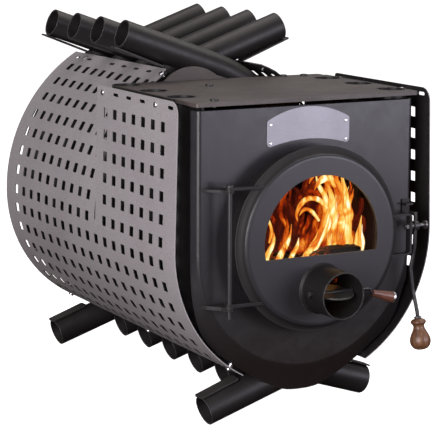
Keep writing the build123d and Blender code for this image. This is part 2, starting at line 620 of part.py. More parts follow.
# lever: eye on the bolt, short upper arm, long rod down to the knob
LX = 229.0
eye = cyl((LX - 4.5, ly, lz), (1, 0, 0), 9.5, 9.0)
lever_line = FilletPolyline(
    (LX, ly, lz - 2.0), (LX, ly + 1.0, 334.0), (LX - 5.0, ly + 5.0, 286.0), (LX - 1.5, ly + 1.0, 244.0), (LX + 2.6, ly - 9.6, 202.0), (LX + 5.5, ly - 17.5, 150.0),
    radius=22.0,
)
lever_section = Plane(origin=lever_line.position_at(0), z_dir=lever_line.tangent_at(0)) * Circle(3.9)
lever_rod = sweep(lever_section, path=lever_line)
arm = cyl((LX, ly, lz + 2.0), (0, 0, 1), 3.9, 25.0)
finger = cyl((LX, ly, lz + 23.0), (0, 1, 0), 3.9, 19.5)
lever = (eye + lever_rod + arm + finger) - cyl((150, ly, lz), (1, 0, 0), 4.06, 140)
lever = max(lever.solids(), key=lambda s: s.volume)
keep("latch_lever", lever)
K0 = Vector(*lever_line.position_at(1))
kd = Vector(*lever_line.tangent_at(1)).normalized()
KA = K0 - kd * 38.5
keep("latch_knob", turned_smooth(
    KA, KA + kd * 60.0,
    [(0.0, 6.0), (1.2, 9.5), (3.6, 13.6), (6.6, 15.4), (9.6, 14.6), (12.6, 12.0), (16.0, 10.9), (20.0, 11.6), (27.0, 14.8), (35.0, 18.6), (43.0, 20.8), (50.0, 20.3), (56.0, 17.6), (60.5, 13.2), (62.6, 8.0), (63.3, 3.0)],
    bore=3.95, bore_to=38.8,
))
keep("latch_collar", turned(KA, KA + kd * 10.0, [(-3.6, 6.6), (-3.0, 7.4), (-0.8, 7.4), (-0.2, 6.8)], bore=3.95, bore_to=30.0))

# catch on the stove: an angle whose wing stands open to the front beside the finger
catch = block(LX - 10.0, LX + 7.0, -3.4, -GAP, 394.0, 424.0) + block(LX - 10.0, LX + 7.0, -17.0, -3.4, 413.0, 417.0)
keep("latch_catch", catch)

# ---------------------------------------------------------------- nameplate, left bare
plate_pts = [
    ThreePointArc((-92, 597), (0, 621.5), (92, 597)),
    Line((92, 597), (92, 545)),
    ThreePointArc((92, 545), (0, 559), (-92, 545)),
    Line((-92, 545), (-92, 597)),
]
badge = prism(make_face(plate_pts), -1.7, -0.2)
badge = fillet(badge.edges().filter_by(Axis.Y), 7.0)
RIVETS = [(-84.0, 590.0), (84.0, 590.0), (-84.0, 554.0), (84.0, 554.0)]
for x, z in RIVETS:
    badge = badge - cyl((x, -10, z), (0, 1, 0), 1.6, 20)
keep("nameplate", badge)
rivets = []
for x, z in RIVETS:
    head = cyl((x, -3.4, z), (0, 1, 0), 3.0, 1.6)
    head = fillet(head.faces().sort_by(Axis.Y)[0].edges(), 1.2)
    rivets.append(head + cyl((x, -2.0, z), (0, 1, 0), 1.5, 1.85))
keep("nameplate_rivets", *rivets)

# small nib and stop bolt on the face below the door
nib = cyl((-9.0, -7.0, 193.0), (0, 1, 0), 3.2, 6.85)
keep("face_nib", fillet(nib.faces().sort_by(Axis.Y)[0].edges(), 1.0))


# ---------------------------------------------------------------- perforated side shields
def slot_cut(c, radius, deg, y, along, wide):
    """Cutter through the curved sheet at an angle: along is measured round the arc."""
    p = polar(c, radius, deg)
    a = math.radians(deg)
    pl = Plane(origin=(p[0], y, p[1]), x_dir=(0, 1, 0), z_dir=(math.cos(a), 0, math.sin(a)))
    w, h, c_ = wide / 2.0, along / 2.0, 1.5
    pts = [(w, h - c_), (w - c_, h), (c_ - w, h), (-w, h - c_), (-w, c_ - h), (c_ - w, -h), (w - c_, -h), (w, c_ - h)]
    return extrude(pl * make_face(Polyline(*pts, close=True)), amount=8.0, both=True)


LEAN = math.radians(SHIELD_LEAN)
WALL_FOOT = polar(SHIELD_C, SHIELD_LOW_R + SHIELD_T, 180.0 - SHIELD_LEAN)  # outer face, X and Z
WALL_OUT = (-math.cos(LEAN), 0.0, math.sin(LEAN))


def wall_at(y, z):
    """Point of the front wall's outer face at a height."""
    return (WALL_FOOT[0] + (z - WALL_FOOT[1]) * math.tan(LEAN), y, z)


def rise(z):
    """Angle above the horizontal where the rear section's arc reaches a height."""
    return math.degrees(math.asin((z - SHIELD_UP_C[1]) / (SHIELD_UP_R + SHIELD_T / 2)))


def shield(bolt_list):
    """Left-hand shield with holes for the given bolts."""
    y0, y1 = SHIELD_Y
    ri, ro = SHIELD_LOW_R, SHIELD_LOW_R + SHIELD_T
    low = prism(sector(SHIELD_C, ri, ro, 180.0, 180.0 + SHIELD_LOW_END), y0, y1)
    low = low + prism(sector(SHIELD_C, ri, ro, 180.0 - SHIELD_LEAN, 180.0), y0, SLIT[0])
    # front wall with a rounded front top corner: X of the plane is world Y, its Y runs up the wall
    top = (SHIELD_TOP - WALL_FOOT[1]) / math.cos(LEAN)
    wall = make_face(
        [
            Line((y0, 0), (y0, top - 26.0)),
            ThreePointArc((y0, top - 26.0), (y0 + 7.6, top - 7.6), (y0 + 26.0, top)),
            Line((y0 + 26.0, top), (SLIT[0] - 8.0, top)),
            ThreePointArc((SLIT[0] - 8.0, top), (SLIT[0] - 2.3, top - 2.3), (SLIT[0], top - 8.0)),
            Line((SLIT[0], top - 8.0), (SLIT[0], 0)),
            Line((SLIT[0], 0), (y0, 0)),
        ]
    )
    wall_pl = Plane(origin=(WALL_FOOT[0], 0, WALL_FOOT[1]), x_dir=(0, 1, 0), z_dir=(-WALL_OUT[0], 0, -WALL_OUT[2]))
    wall_solid = extrude(wall_pl * wall, amount=SHIELD_T)
    up = prism(sector(SHIELD_UP_C, SHIELD_UP_R, SHIELD_UP_R + SHIELD_T, 180.0 - SHIELD_UP_END, 180.0), SLIT[1], y1)
    relief = sector(SHIELD_UP_C, SHIELD_UP_R - 6, SHIELD_UP_R + 8, 180.0 - rise(RELIEF_Z[1]), 180.0 - rise(RELIEF_Z[0]))
    up = up - prism(relief, SLIT[1] - 2, RELIEF_Y)
    # chamfer the upper front corner of the rear section
    tip = polar(SHIELD_UP_C, SHIELD_UP_R + 1, 180.0 - SHIELD_UP_END)
    a = math.radians(180.0 - SHIELD_UP_END)
    cp = Plane(origin=(tip[0], SLIT[1], tip[1]), x_dir=(0, 1, 0), z_dir=(math.cos(a), 0, math.sin(a)))
    corner = extrude(cp * make_face(Polyline((-3, 3), (22, 3), (22, 0), (0, -24), (-3, -24), close=True)), amount=12.0, both=True)
    corner_m = extrude(cp * make_face(Polyline((-3, -3), (22, -3), (22, 0), (0, 24), (-3, 24), close=True)), amount=12.0, both=True)
    t1 = up - corner
    t2 = up - corner_m
    up = t1 if t1.volume < t2.volume else t2
    # tie between the two sections at the foot of the slit, a little thinner than the sheet
    foot = block(-289.1, -287.75, SLIT[0] - 1.5, SLIT[1] + 1.5, 351.0, SLIT_FOOT)
    body = low + wall_solid + up + foot
    cutters = []
    cols = [COL_0 + COL_PITCH * k for k in range(18)]
    for k, y in enumerate(cols):
        for deg in (6.15, 14.93, 23.71, 32.4, 41.22, 49.98):
            cutters.append(slot_cut(SHIELD_C, SHIELD_LOW_R + 1, 180.0 + deg, y, HOLE_H, HOLE_W))
        if k < 7:
            for z in (590.07, 546.08, 502.09, 458.09, 414.1, 370.11):
                p = Plane(origin=wall_at(y, z), x_dir=(0, 1, 0), z_dir=WALL_OUT)
                cutters.append(extrude(p * RectangleRounded(HOLE_W, HOLE_H, 1.6), amount=8.0, both=True))
        elif k > 7:
            for j in range(8):
                deg = 180.0 - (1.743 + 7.075 * j)
                cutters.append(slot_cut(SHIELD_UP_C, SHIELD_UP_R + 1, deg, y, HOLE_H, HOLE_W))
    # elongated mounting slots along the top edges
    for y in (28.3, 148.7, 209.8, 268.0):
        p = Plane(origin=wall_at(y, SHIELD_BOLT_Z), x_dir=(0, 1, 0), z_dir=WALL_OUT)
        cutters.append(extrude(p * SlotOverall(21.7, 6.9), amount=8.0, both=True))
    for y in (433.7, 493.9, 554.1, 614.2, 734.6, 797.7):
        d = 180.0 - SHIELD_BOLT_UP
        p0 = polar(SHIELD_UP_C, SHIELD_UP_R + 1, d)
        ar = math.radians(d)
        p = Plane(origin=(p0[0], y, p0[1]), x_dir=(0, 1, 0), z_dir=(math.cos(ar), 0, math.sin(ar)))
        cutters.append(extrude(p * SlotOverall(21.7, 6.9), amount=8.0, both=True))
    for p0, n, kind in bolt_list:
        cutters.append(cyl(tuple(Vector(*p0) - Vector(*n) * 8.0), n, 3.2, 16.0))
    return body.cut(*cutters)


def bolt_at(c, radius, deg, y):
    p = polar(c, radius, deg)
    a = math.radians(deg)
    return ((p[0], y, p[1]), (math.cos(a), 0.0, math.sin(a)))


def shield_bolts(top_ys):
    """Place, direction and kind of each bolt of a left-hand shield."""
    out = []
    for y in (90.46, 328.2):
        out.append((wall_at(y, SHIELD_BOLT_Z), WALL_OUT, "flat"))
    for y in top_ys:
        p, n = bolt_at(SHIELD_UP_C, SHIELD_UP_R + SHIELD_T, 180.0 - SHIELD_BOLT_UP, y)
        out.append((p, n, "thin"))
    for y in (38.2, 393.3, 797.7):
        p, n = bolt_at(SHIELD_C, SHIELD_LOW_R + SHIELD_T, 180.0 + SHIELD_BOLT_LOW, y)
        out.append((p, n, "low"))
    return out


def shield_fittings(bolt_list, crests):
    """Bars, spacer bushes and bolts of a left-hand shield, with stand-offs over the given tube crests."""
    bars, bushes, sbolts = [], [], []
    bar_front = block(-253.3, -250.15, 76.0, 348.0, 618.0, 640.0)
    for p0, n, kind in bolt_list[:2]:
        bar_front = bar_front - cyl(tuple(Vector(*p0) - Vector(*n) * 45.0), n, 3.2, 30)
    bars.append(bar_front)
    deg = 180.0 - SHIELD_BOLT_UP
    at = polar(SHIELD_UP_C, SHIELD_UP_R - 1.0, deg)
    ar = math.radians(deg)
    nv = Vector(math.cos(ar), 0, math.sin(ar))
    pl = Plane(origin=(at[0], (366.0 + 800.0) / 2, at[1]), x_dir=(0, 1, 0), z_dir=tuple(nv))
    bar_top = extrude(pl * Rectangle(434.0, 18.0), amount=0.6, both=True)
    for p0, n, kind in bolt_list[2:4]:
        bar_top = bar_top - cyl(tuple(Vector(*p0) - Vector(*n) * 10.0), n, 3.2, 20)
    bars.append(bar_top)
    for y in crests:
        foot = Vector(at[0], y, at[1]) - nv * (0.7 + 18.1)
        bushes.append(cyl(tuple(foot), tuple(nv), 6.0, 18.1))
    deg = 180.0 + SHIELD_BOLT_LOW
    at = polar(SHIELD_C, SHIELD_LOW_R - 14.0, deg)
    ar = math.radians(deg)
    pl = Plane(origin=(at[0], (26.0 + 812.0) / 2, at[1]), x_dir=(0, 1, 0), z_dir=(math.cos(ar), 0, math.sin(ar)))
    bar_low = extrude(pl * Rectangle(786.0, 22.0), amount=1.5, both=True)
    for p0, n, kind in bolt_list[4:]:
        bar_low = bar_low - cyl(tuple(Vector(*p0) - Vector(*n) * 22.0), n, 3.2, 26)
    bars.append(bar_low)
    for p0, n, kind in bolt_list:
        base = Vector(*p0)
        nv = Vector(*n)
        inner_len = {"flat": 33.2, "thin": 7.2, "low": 17.4}[kind]
        shank = cyl(tuple(base - nv * inner_len), n, 3.0, inner_len + 0.4)
        head = cyl(tuple(base + nv * 0.1), n, 6.2, 3.6)
        pick = max(head.faces(), key=lambda f: (f.center() - base).dot(nv) if f.area > 60 else -1e9)
        head = fillet(pick.edges(), 2.4)
        sbolts.append(shank + head)
        if kind == "flat":
            bushes.append(cyl(tuple(base - nv * (SHIELD_T + 27.1)), n, 7.0, 27.0, 3.2))
        elif kind == "low":
            bushes.append(cyl(tuple(base - nv * (SHIELD_T + 12.4)), n, 7.0, 12.3, 3.2))
    return bars, bushes, sbolts


for side, top_ys, crest_ys in (("left", (373.6, 757.3), (469.1, 710.3)), ("right", (401.2, 757.3), (529.4, 650.0))):
    listed = shield_bolts(top_ys)
    sheet_ = shield(listed)
    bars_, bushes_, bolts_ = shield_fittings(listed, crest_ys)
    if side == "right":
        sheet_ = mirror_x(sheet_)
        bars_, bushes_, bolts_ = [[mirror_x(q) for q in group] for group in (bars_, bushes_, bolts_)]
    keep(f"{side}_shield", sheet_)
    keep(f"{side}_shield_bars", *bars_)
    keep(f"{side}_shield_bushes", *bushes_)
    keep(f"{side}_shield_bolts", *bolts_)

# ---------------------------------------------------------------- tie straps at the tube ends
straps = []


def strap(p, q, y, thick=3.0, wide=30.0):
    """Flat strap whose upper face runs from p to q (X, Z), centred on y."""
    dx, dz = q[0] - p[0], q[1] - p[1]
    n = math.hypot(dx, dz)
    nx, nz = dz / n, -dx / n
    if nz > 0:
        nx, nz = -nx, -nz
    face = face_xz([p, q, (q[0] + nx * thick, q[1] + nz * thick), (p[0] + nx * thick, p[1] + nz * thick)])
    s = prism(face, y - wide / 2, y + wide / 2)
    return fillet(s.edges().filter_by(lambda e: abs(e.tangent_at(0).Y) < 0.05 and abs(e.length - thick) < 0.05), 5.0)


def under_z(x):
    """Underside of a right-hand tube's upper run, on the left."""
    return up_z(-x) - R / _uc


def over_z(x):
    """Upper side of a right-hand foot tube, on the left."""
    return low_z(-x) + R / _c


tops = [(RIGHT_Y0 + PITCH * i) for i in (3, 6)]
feet = [(RIGHT_Y0 + PITCH * i) for i in (0, 6)]
tops_r = [(LEFT_Y0 + PITCH * i) for i in (3, 6)]
feet_r = [(LEFT_Y0 + PITCH * i) for i in (0, 6)]
TOP_P, TOP_Q = (-223.0, under_z(-223.0) - 0.35), (-109.0, under_z(-109.0) - 4.6)
LOW_P, LOW_Q = (-215.0, over_z(-215.0) + 3.45), (-131.0, over_z(-131.0) + 3.4 + 2.6)
upper, lower = [], []
for y in tops:
    upper.append(strap(TOP_P, TOP_Q, y))
for y in tops_r:
    upper.append(mirror_x(strap(TOP_P, TOP_Q, y)))
for y in feet:
    lower.append(strap(LOW_P, LOW_Q, y))
for y in feet_r:
    lower.append(mirror_x(strap(LOW_P, LOW_Q, y)))
keep("upper_straps", *upper)
keep("lower_straps", *lower)

# ---------------------------------------------------------------- write the pieces
box = None
for name, shape in NODES.items():
    export_step(shape, f"parts/{name}.step")
    b = shape.bounding_box()
    box = b if box is None else box.add(b)
print("nodes", len(NODES), "box", box.min, box.max, "centre shift", CENTRE_Y, FLOOR_Z)
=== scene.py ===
import math
import random

import bpy
import bmesh
import numpy as np
from mathutils import Matrix, Vector, noise


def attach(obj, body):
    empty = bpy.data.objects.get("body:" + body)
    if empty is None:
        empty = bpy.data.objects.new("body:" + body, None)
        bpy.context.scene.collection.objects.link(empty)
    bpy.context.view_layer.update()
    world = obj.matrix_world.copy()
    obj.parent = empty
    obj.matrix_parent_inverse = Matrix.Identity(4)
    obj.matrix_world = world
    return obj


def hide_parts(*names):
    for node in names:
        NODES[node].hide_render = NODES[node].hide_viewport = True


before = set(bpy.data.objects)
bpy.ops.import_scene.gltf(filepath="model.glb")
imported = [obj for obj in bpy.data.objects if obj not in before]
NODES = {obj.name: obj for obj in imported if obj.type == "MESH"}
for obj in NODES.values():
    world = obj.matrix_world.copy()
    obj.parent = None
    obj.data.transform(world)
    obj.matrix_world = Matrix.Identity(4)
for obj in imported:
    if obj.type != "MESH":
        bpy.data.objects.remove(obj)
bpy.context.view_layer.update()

random.seed(7)


def P(x, y, z):
    """Working millimetres (front face at Y 0) to metres in the shared frame."""
    return Vector((x / 1000.0, (y - 406.0) / 1000.0, (z - 1.665197) / 1000.0))


# ------------------------------------------------------------------ camera
yaw, pitch, roll = math.radians(28.292), math.radians(10.096), math.radians(0.223)
fwd = Vector((math.sin(yaw) * math.cos(pitch), math.cos(yaw) * math.cos(pitch), -math.sin(pitch)))
right = Vector((math.cos(yaw), -math.sin(yaw), 0.0))
up = right.cross(fwd)
ri = right * math.cos(roll) + up * math.sin(roll)
upr = up * math.cos(roll) - right * math.sin(roll)
cam_data = bpy.data.cameras.new("main_camera")
cam_data.lens = 151.3
cam_data.sensor_width = 36.0
cam_data.clip_start, cam_data.clip_end = 0.05, 60.0
cam = bpy.data.objects.new("main_camera", cam_data)
bpy.context.scene.collection.objects.link(cam)
rot = Matrix((ri, upr, -fwd)).transposed().to_4x4()
cam.matrix_world = Matrix.Translation(Vector((-1.81006, -3.40121, 1.02895))) @ rot
bpy.context.scene.camera = cam
bpy.context.scene.view_settings.view_transform = "Standard"


# ------------------------------------------------------------------ node helpers
class Tree:
    """A material's node tree with short ways to add and join nodes."""

    def __init__(self, name):
        self.mat = bpy.data.materials.new(name)
        self.mat.use_nodes = True
        self.nt = self.mat.node_tree
        self.nt.nodes.clear()
        self.out = self.nt.nodes.new("ShaderNodeOutputMaterial")
        self.bsdf = self.nt.nodes.new("ShaderNodeBsdfPrincipled")
        self.nt.links.new(self.bsdf.outputs[0], self.out.inputs[0])
        self.coord = self.nt.nodes.new("ShaderNodeTexCoord").outputs["Object"]

    def link(self, a, b):
        self.nt.links.new(a, b)

    def put(self, socket, value):
        if isinstance(value, bpy.types.NodeSocket):
            self.nt.links.new(value, socket)
        else:
            socket.default_value = value

    def set(self, **values):
        for key, value in values.items():
            self.put(self.bsdf.inputs[key.replace("_", " ")], value)

    def mapping(self, scale=(1, 1, 1), rotation=(0, 0, 0), location=(0, 0, 0), source=None):
        n = self.nt.nodes.new("ShaderNodeMapping")
        n.inputs["Scale"].default_value = scale
        n.inputs["Rotation"].default_value = rotation
        n.inputs["Location"].default_value = location
        self.link(source or self.coord, n.inputs[0])
        return n.outputs[0]

    def noise(self, scale, detail=4.0, rough=0.55, distortion=0.0, source=None):
        n = self.nt.nodes.new("ShaderNodeTexNoise")
        n.inputs["Scale"].default_value = scale
        n.inputs["Detail"].default_value = detail
        n.inputs["Roughness"].default_value = rough
        n.inputs["Distortion"].default_value = distortion
        self.link(source or self.coord, n.inputs["Vector"])
        return n.outputs["Fac"]

    def voronoi(self, scale, feature="F1", out="Distance", source=None):
        n = self.nt.nodes.new("ShaderNodeTexVoronoi")
        n.feature = feature
        n.inputs["Scale"].default_value = scale
        self.link(source or self.coord, n.inputs["Vector"])
        return n.outputs[out]

    def wave(self, scale, distortion=2.0, detail=2.0, source=None, kind="BANDS", direction="X"):
        n = self.nt.nodes.new("ShaderNodeTexWave")
        n.wave_type = kind
        if kind == "BANDS":
            n.bands_direction = direction
        else:
            n.rings_direction = direction
        n.inputs["Scale"].default_value = scale
        n.inputs["Distortion"].default_value = distortion
        n.inputs["Detail"].default_value = detail
        self.link(source or self.coord, n.inputs["Vector"])
        return n.outputs["Fac"]

    def math(self, op, a, b=0.0, clamp=False):
        n = self.nt.nodes.new("ShaderNodeMath")
        n.operation = op
        n.use_clamp = clamp
        self.put(n.inputs[0], a)
        self.put(n.inputs[1], b)
        return n.outputs[0]

    def fit(self, value, a, b, c=0.0, d=1.0):
        n = self.nt.nodes.new("ShaderNodeMapRange")
        n.clamp = True
        self.put(n.inputs["Value"], value)
        n.inputs["From Min"].default_value = a
        n.inputs["From Max"].default_value = b
        n.inputs["To Min"].default_value = c
        n.inputs["To Max"].default_value = d
        return n.outputs[0]

    def ramp(self, value, stops, mode="LINEAR"):
        n = self.nt.nodes.new("ShaderNodeValToRGB")
        n.color_ramp.interpolation = mode
        el = n.color_ramp.elements
        while len(el) < len(stops):
            el.new(0.5)
        for e, (p, c) in zip(el, stops):
            e.position = p
            e.color = (*c, 1.0)
        self.put(n.inputs[0], value)
        return n.outputs[0]

    def mix(self, fac, a, b, mode="MIX"):
        n = self.nt.nodes.new("ShaderNodeMix")
        n.data_type = "RGBA"
        n.blend_type = mode
        n.clamp_factor = True
        self.put(n.inputs[0], fac)
        for socket, value in ((n.inputs[6], a), (n.inputs[7], b)):
            self.put(socket, value if isinstance(value, bpy.types.NodeSocket) else (*value, 1.0))
        return n.outputs[2]

    def bump(self, height, strength, distance, normal=None):
        n = self.nt.nodes.new("ShaderNodeBump")
        n.inputs["Strength"].default_value = strength
        n.inputs["Distance"].default_value = distance
        self.put(n.inputs["Height"], height)
        if normal is not None:
            self.link(normal, n.inputs["Normal"])
        return n.outputs[0]

    def bevel(self, radius, samples=4):
        n = self.nt.nodes.new("ShaderNodeBevel")
        n.samples = samples
        n.inputs["Radius"].default_value = radius
        return n.outputs[0]

    def geometry(self, what):
        return self.nt.nodes.new("ShaderNodeNewGeometry").outputs[what]

    def attribute(self, name):
        n = self.nt.nodes.new("ShaderNodeAttribute")
        n.attribute_name = name
        return n.outputs["Fac"]

    def edge(self, bevelled):
        """About 1 along sharp edges, 0 on flats."""
        n = self.nt.nodes.new("ShaderNodeVectorMath")
        n.operation = "DOT_PRODUCT"
        self.link(bevelled, n.inputs[0])
        self.link(self.geometry("Normal"), n.inputs[1])
        return self.fit(n.outputs["Value"], 0.995, 0.80)

    def upward(self):
        """The normal's Z, for dust that settles on top."""
        n = self.nt.nodes.new("ShaderNodeSeparateXYZ")
        self.link(self.geometry("Normal"), n.inputs[0])
        return n.outputs[2]


def scaled(c, k):
    return tuple(min(1.0, v * k) for v in c)


def paint(name, base, rough, warm=(0.03, 0.022, 0.018), var=0.16, peel=0.10, dust=0.0, edge_wear_and_highlight=(0.16, 0.155, 0.15), edge_wear_and_highlight_amount=0.55, spec=0.5, radius=0.0009, low=None, cloud=5.0):
    """Heat-resistant spray paint: cloudy tone, fine grain, orange peel, edges lightened (rubbed paint and painted
    highlight), a little dust on top, and optionally a painted reflection of a dark floor, darker and browner towards
    the bottom.
    """
    t = Tree(name)
    clouds = t.noise(cloud, 5, 0.6, 0.4)
    grain = t.noise(420, 5, 0.6)
    peel_n = t.noise(900, 2, 0.5)
    smear = t.noise(38, 6, 0.65, 0.8)
    tone = t.mix(t.fit(clouds, 0.32, 0.68), scaled(base, 1.0 - var), scaled(base, 1.0 + var))
    tone = t.mix(t.fit(grain, 0.35, 0.75, 0.0, 0.30), tone, scaled(base, 1.45))
    tone = t.mix(t.fit(smear, 0.58, 0.78, 0.0, 0.45), tone, warm)
    if dust:
        settle = t.math("MULTIPLY", t.fit(t.upward(), 0.35, 0.95), t.fit(smear, 0.3, 0.7, 0.35, 1.0))
        tone = t.mix(t.math("MULTIPLY", settle, dust), tone, (0.20, 0.175, 0.155))
    # Optional painted reflection of a dark floor: the paint is made darker and browner towards the bottom.
    if low:
        place = t.nt.nodes.new("ShaderNodeSeparateXYZ")
        t.link(t.coord, place.inputs[0])
        tone = t.mix(t.fit(place.outputs[2], 0.30, 0.10, 0.0, 0.85), tone, low)
    # Edges lightened: partly rubbed paint, partly a painted highlight where edges catch the light.
    bev = t.bevel(radius)
    edge = t.math("MULTIPLY", t.edge(bev), t.fit(t.noise(60, 4, 0.6), 0.3, 0.7, 0.35, 1.0))
    tone = t.mix(t.math("MULTIPLY", edge, edge_wear_and_highlight_amount), tone, edge_wear_and_highlight)
    t.set(Base_Color=tone, Metallic=0.0)
    t.bsdf.inputs["Specular IOR Level"].default_value = spec
    rg = t.math("ADD", t.fit(smear, 0.3, 0.75, rough - 0.05, rough + 0.08), t.fit(grain, 0.3, 0.7, -0.03, 0.03))
    t.set(Roughness=rg)
    n = t.bump(grain, 0.10, 0.0006, bev)
    n = t.bump(peel_n, peel, 0.0003, n)
    t.set(Normal=n)
    return t.mat


def assign(names, mat):
    for n in names:
        o = NODES[n]
        o.data.materials.clear()
        o.data.materials.append(mat)


TUBES_ALL = [n for n in NODES if "_tube_" in n]

# ------------------------------------------------------------------ materials
tube_paint = paint("tube_paint", (0.0112, 0.0096, 0.0104), 0.43, warm=(0.022, 0.015, 0.012), var=0.25, dust=0.04, edge_wear_and_highlight=(0.24, 0.23, 0.23), edge_wear_and_highlight_amount=0.9, spec=0.42, radius=0.0012)
body_paint = paint("body_paint", (0.0155, 0.0138, 0.0138), 0.52, warm=(0.025, 0.017, 0.013), var=0.3, dust=0.08, edge_wear_and_highlight=(0.15, 0.14, 0.13), edge_wear_and_highlight_amount=0.6)
front_paint = paint("front_paint", (0.0165, 0.0155, 0.0185), 0.335, warm=(0.020, 0.017, 0.018), var=0.10, peel=0.06, dust=0.03, edge_wear_and_highlight=(0.16, 0.155, 0.165), edge_wear_and_highlight_amount=0.6, spec=0.5, low=(0.0105, 0.0076, 0.0060), cloud=3.0)
collar_paint = paint("collar_paint", (0.0095, 0.0085, 0.0092), 0.52, warm=(0.016, 0.012, 0.011), var=0.2, peel=0.08, dust=0.02, edge_wear_and_highlight=(0.20, 0.19, 0.20), edge_wear_and_highlight_amount=0.8, spec=0.35)
fitting_paint = paint("fitting_paint", (0.018, 0.017, 0.019), 0.38, warm=(0.03, 0.022, 0.018), var=0.2, peel=0.12, dust=0.05, edge_wear_and_highlight=(0.30, 0.29, 0.28), edge_wear_and_highlight_amount=0.8, spec=0.5)


def spigot_material():
    """Dull black outside, bore painted darker as shade, rubbed rim."""
    t = Tree("spigot_paint")
    n = t.nt.nodes.new("ShaderNodeVectorMath")
    n.operation = "LENGTH"
    t.link(t.mapping((1.0, 0.0, 1.0), location=(0.0, 0.0, -0.272735)), n.inputs[0])
    bore = t.fit(n.outputs["Value"], 0.0452, 0.0438)
    grain = t.noise(420, 5, 0.6)
    smear = t.noise(44, 6, 0.65, 0.8)
    tone = t.mix(t.fit(smear, 0.3, 0.72), (0.0062, 0.0056, 0.0060), (0.0105, 0.0095, 0.0098))
    tone = t.mix(t.fit(grain, 0.4, 0.75, 0.0, 0.3), tone, (0.018, 0.017, 0.018))
    # Painted shade: the bore is made near black inside.
    tone = t.mix(bore, tone, (0.0022, 0.0016, 0.0014))
    bev = t.bevel(0.0011)
    edge = t.math("MULTIPLY", t.edge(bev), t.fit(t.noise(60, 4, 0.6), 0.3, 0.7, 0.4, 1.0))
    tone = t.mix(t.math("MULTIPLY", edge, 0.9), tone, (0.24, 0.23, 0.23))
    t.set(Base_Color=tone, Metallic=0.0)
    t.bsdf.inputs["Specular IOR Level"].default_value = 0.26
    t.set(Roughness=t.math("ADD", t.fit(smear, 0.3, 0.75, 0.46, 0.56), t.math("MULTIPLY", bore, 0.42), True))
    nn = t.bump(grain, 0.12, 0.0006, bev)
    t.set(Normal=t.bump(t.noise(900, 2, 0.5), 0.12, 0.0003, nn))
    return t.mat


def door_material():
    """Satin door face; the turned-back rim outside it is painted darker as shade, and duller."""
    t = Tree("door_paint")
    own = t.mapping((1.0, 0.0, 1.0), location=(0.0, 0.0, -0.366335))
    n = t.nt.nodes.new("ShaderNodeVectorMath")
    n.operation = "LENGTH"
    t.link(own, n.inputs[0])
    radius = n.outputs["Value"]
    clouds = t.noise(3.4, 5, 0.6, 0.4)
    grain = t.noise(420, 5, 0.6)
    smear = t.noise(34, 6, 0.65, 0.8)
    # Painted shade: past the face's edge the rim is darkened as if in the shadow of the collar.
    rim = t.fit(t.math("ADD", radius, t.fit(smear, 0.3, 0.7, -0.0008, 0.0008)), 0.1665, 0.1692)
    face = t.mix(t.fit(clouds, 0.32, 0.68), (0.0185, 0.0180, 0.0215), (0.0225, 0.0215, 0.0255))
    face = t.mix(t.fit(grain, 0.35, 0.75, 0.0, 0.30), face, (0.031, 0.030, 0.035))
    rim_shade_tone = t.mix(t.fit(smear, 0.35, 0.7), (0.0050, 0.0044, 0.0046), (0.0085, 0.0072, 0.0072))
    tone = t.mix(rim, face, rim_shade_tone)
    # Edges lightened: rubbed paint and a painted highlight along the face edge.
    bev = t.bevel(0.0008)
    edge = t.math("MULTIPLY", t.edge(bev), t.fit(t.noise(60, 4, 0.6), 0.3, 0.7, 0.35, 1.0))
    tone = t.mix(t.math("MULTIPLY", edge, 0.6), tone, (0.17, 0.165, 0.175))
    t.set(Base_Color=tone, Metallic=0.0)
    t.bsdf.inputs["Specular IOR Level"].default_value = 0.46
    rough = t.math("ADD", t.fit(smear, 0.3, 0.75, 0.33, 0.41), t.math("MULTIPLY", rim, 0.34))
    t.set(Roughness=rough)
    nn = t.bump(grain, 0.10, 0.0006, bev)
    nn = t.bump(t.noise(900, 2, 0.5), 0.06, 0.0003, nn)
    t.set(Normal=nn)
    return t.mat


def plate_material():
    """Thick plate with rolling marks, handling smudges and faint heat tint."""
    t = Tree("plate_steel")
    clouds = t.noise(4.5, 6, 0.62, 0.9)
    roll_marks = t.noise(26, 5, 0.6, 0.2, t.mapping((1.0, 7.0, 1.0)))
    grain = t.noise(500, 5, 0.6)
    blotch = t.noise(15, 6, 0.7, 1.3)
    tone = t.ramp(t.fit(clouds, 0.3, 0.7), [(0.0, (0.040, 0.031, 0.030)), (0.45, (0.060, 0.048, 0.046)), (0.75, (0.080, 0.064, 0.059)), (1.0, (0.050, 0.042, 0.042))])
    tone = t.mix(t.fit(roll_marks, 0.45, 0.75, 0.0, 0.35), tone, (0.038, 0.032, 0.030))
    tone = t.mix(t.fit(blotch, 0.60, 0.74, 0.0, 0.5), tone, (0.034, 0.028, 0.027))
    tone = t.mix(t.fit(grain, 0.4, 0.7, 0.0, 0.2), tone, (0.12, 0.105, 0.10))
    bev = t.bevel(0.001)
    edge = t.math("MULTIPLY", t.edge(bev), t.fit(t.noise(70, 4, 0.6), 0.3, 0.7, 0.3, 1.0))
    tone = t.mix(t.math("MULTIPLY", edge, 0.6), tone, (0.22, 0.21, 0.20))
    t.set(Base_Color=tone, Metallic=0.0, Roughness=t.fit(blotch, 0.3, 0.7, 0.40, 0.56))
    n = t.bump(grain, 0.14, 0.0006, bev)
    n = t.bump(roll_marks, 0.06, 0.0012, n)
    t.set(Normal=n)
    return t.mat


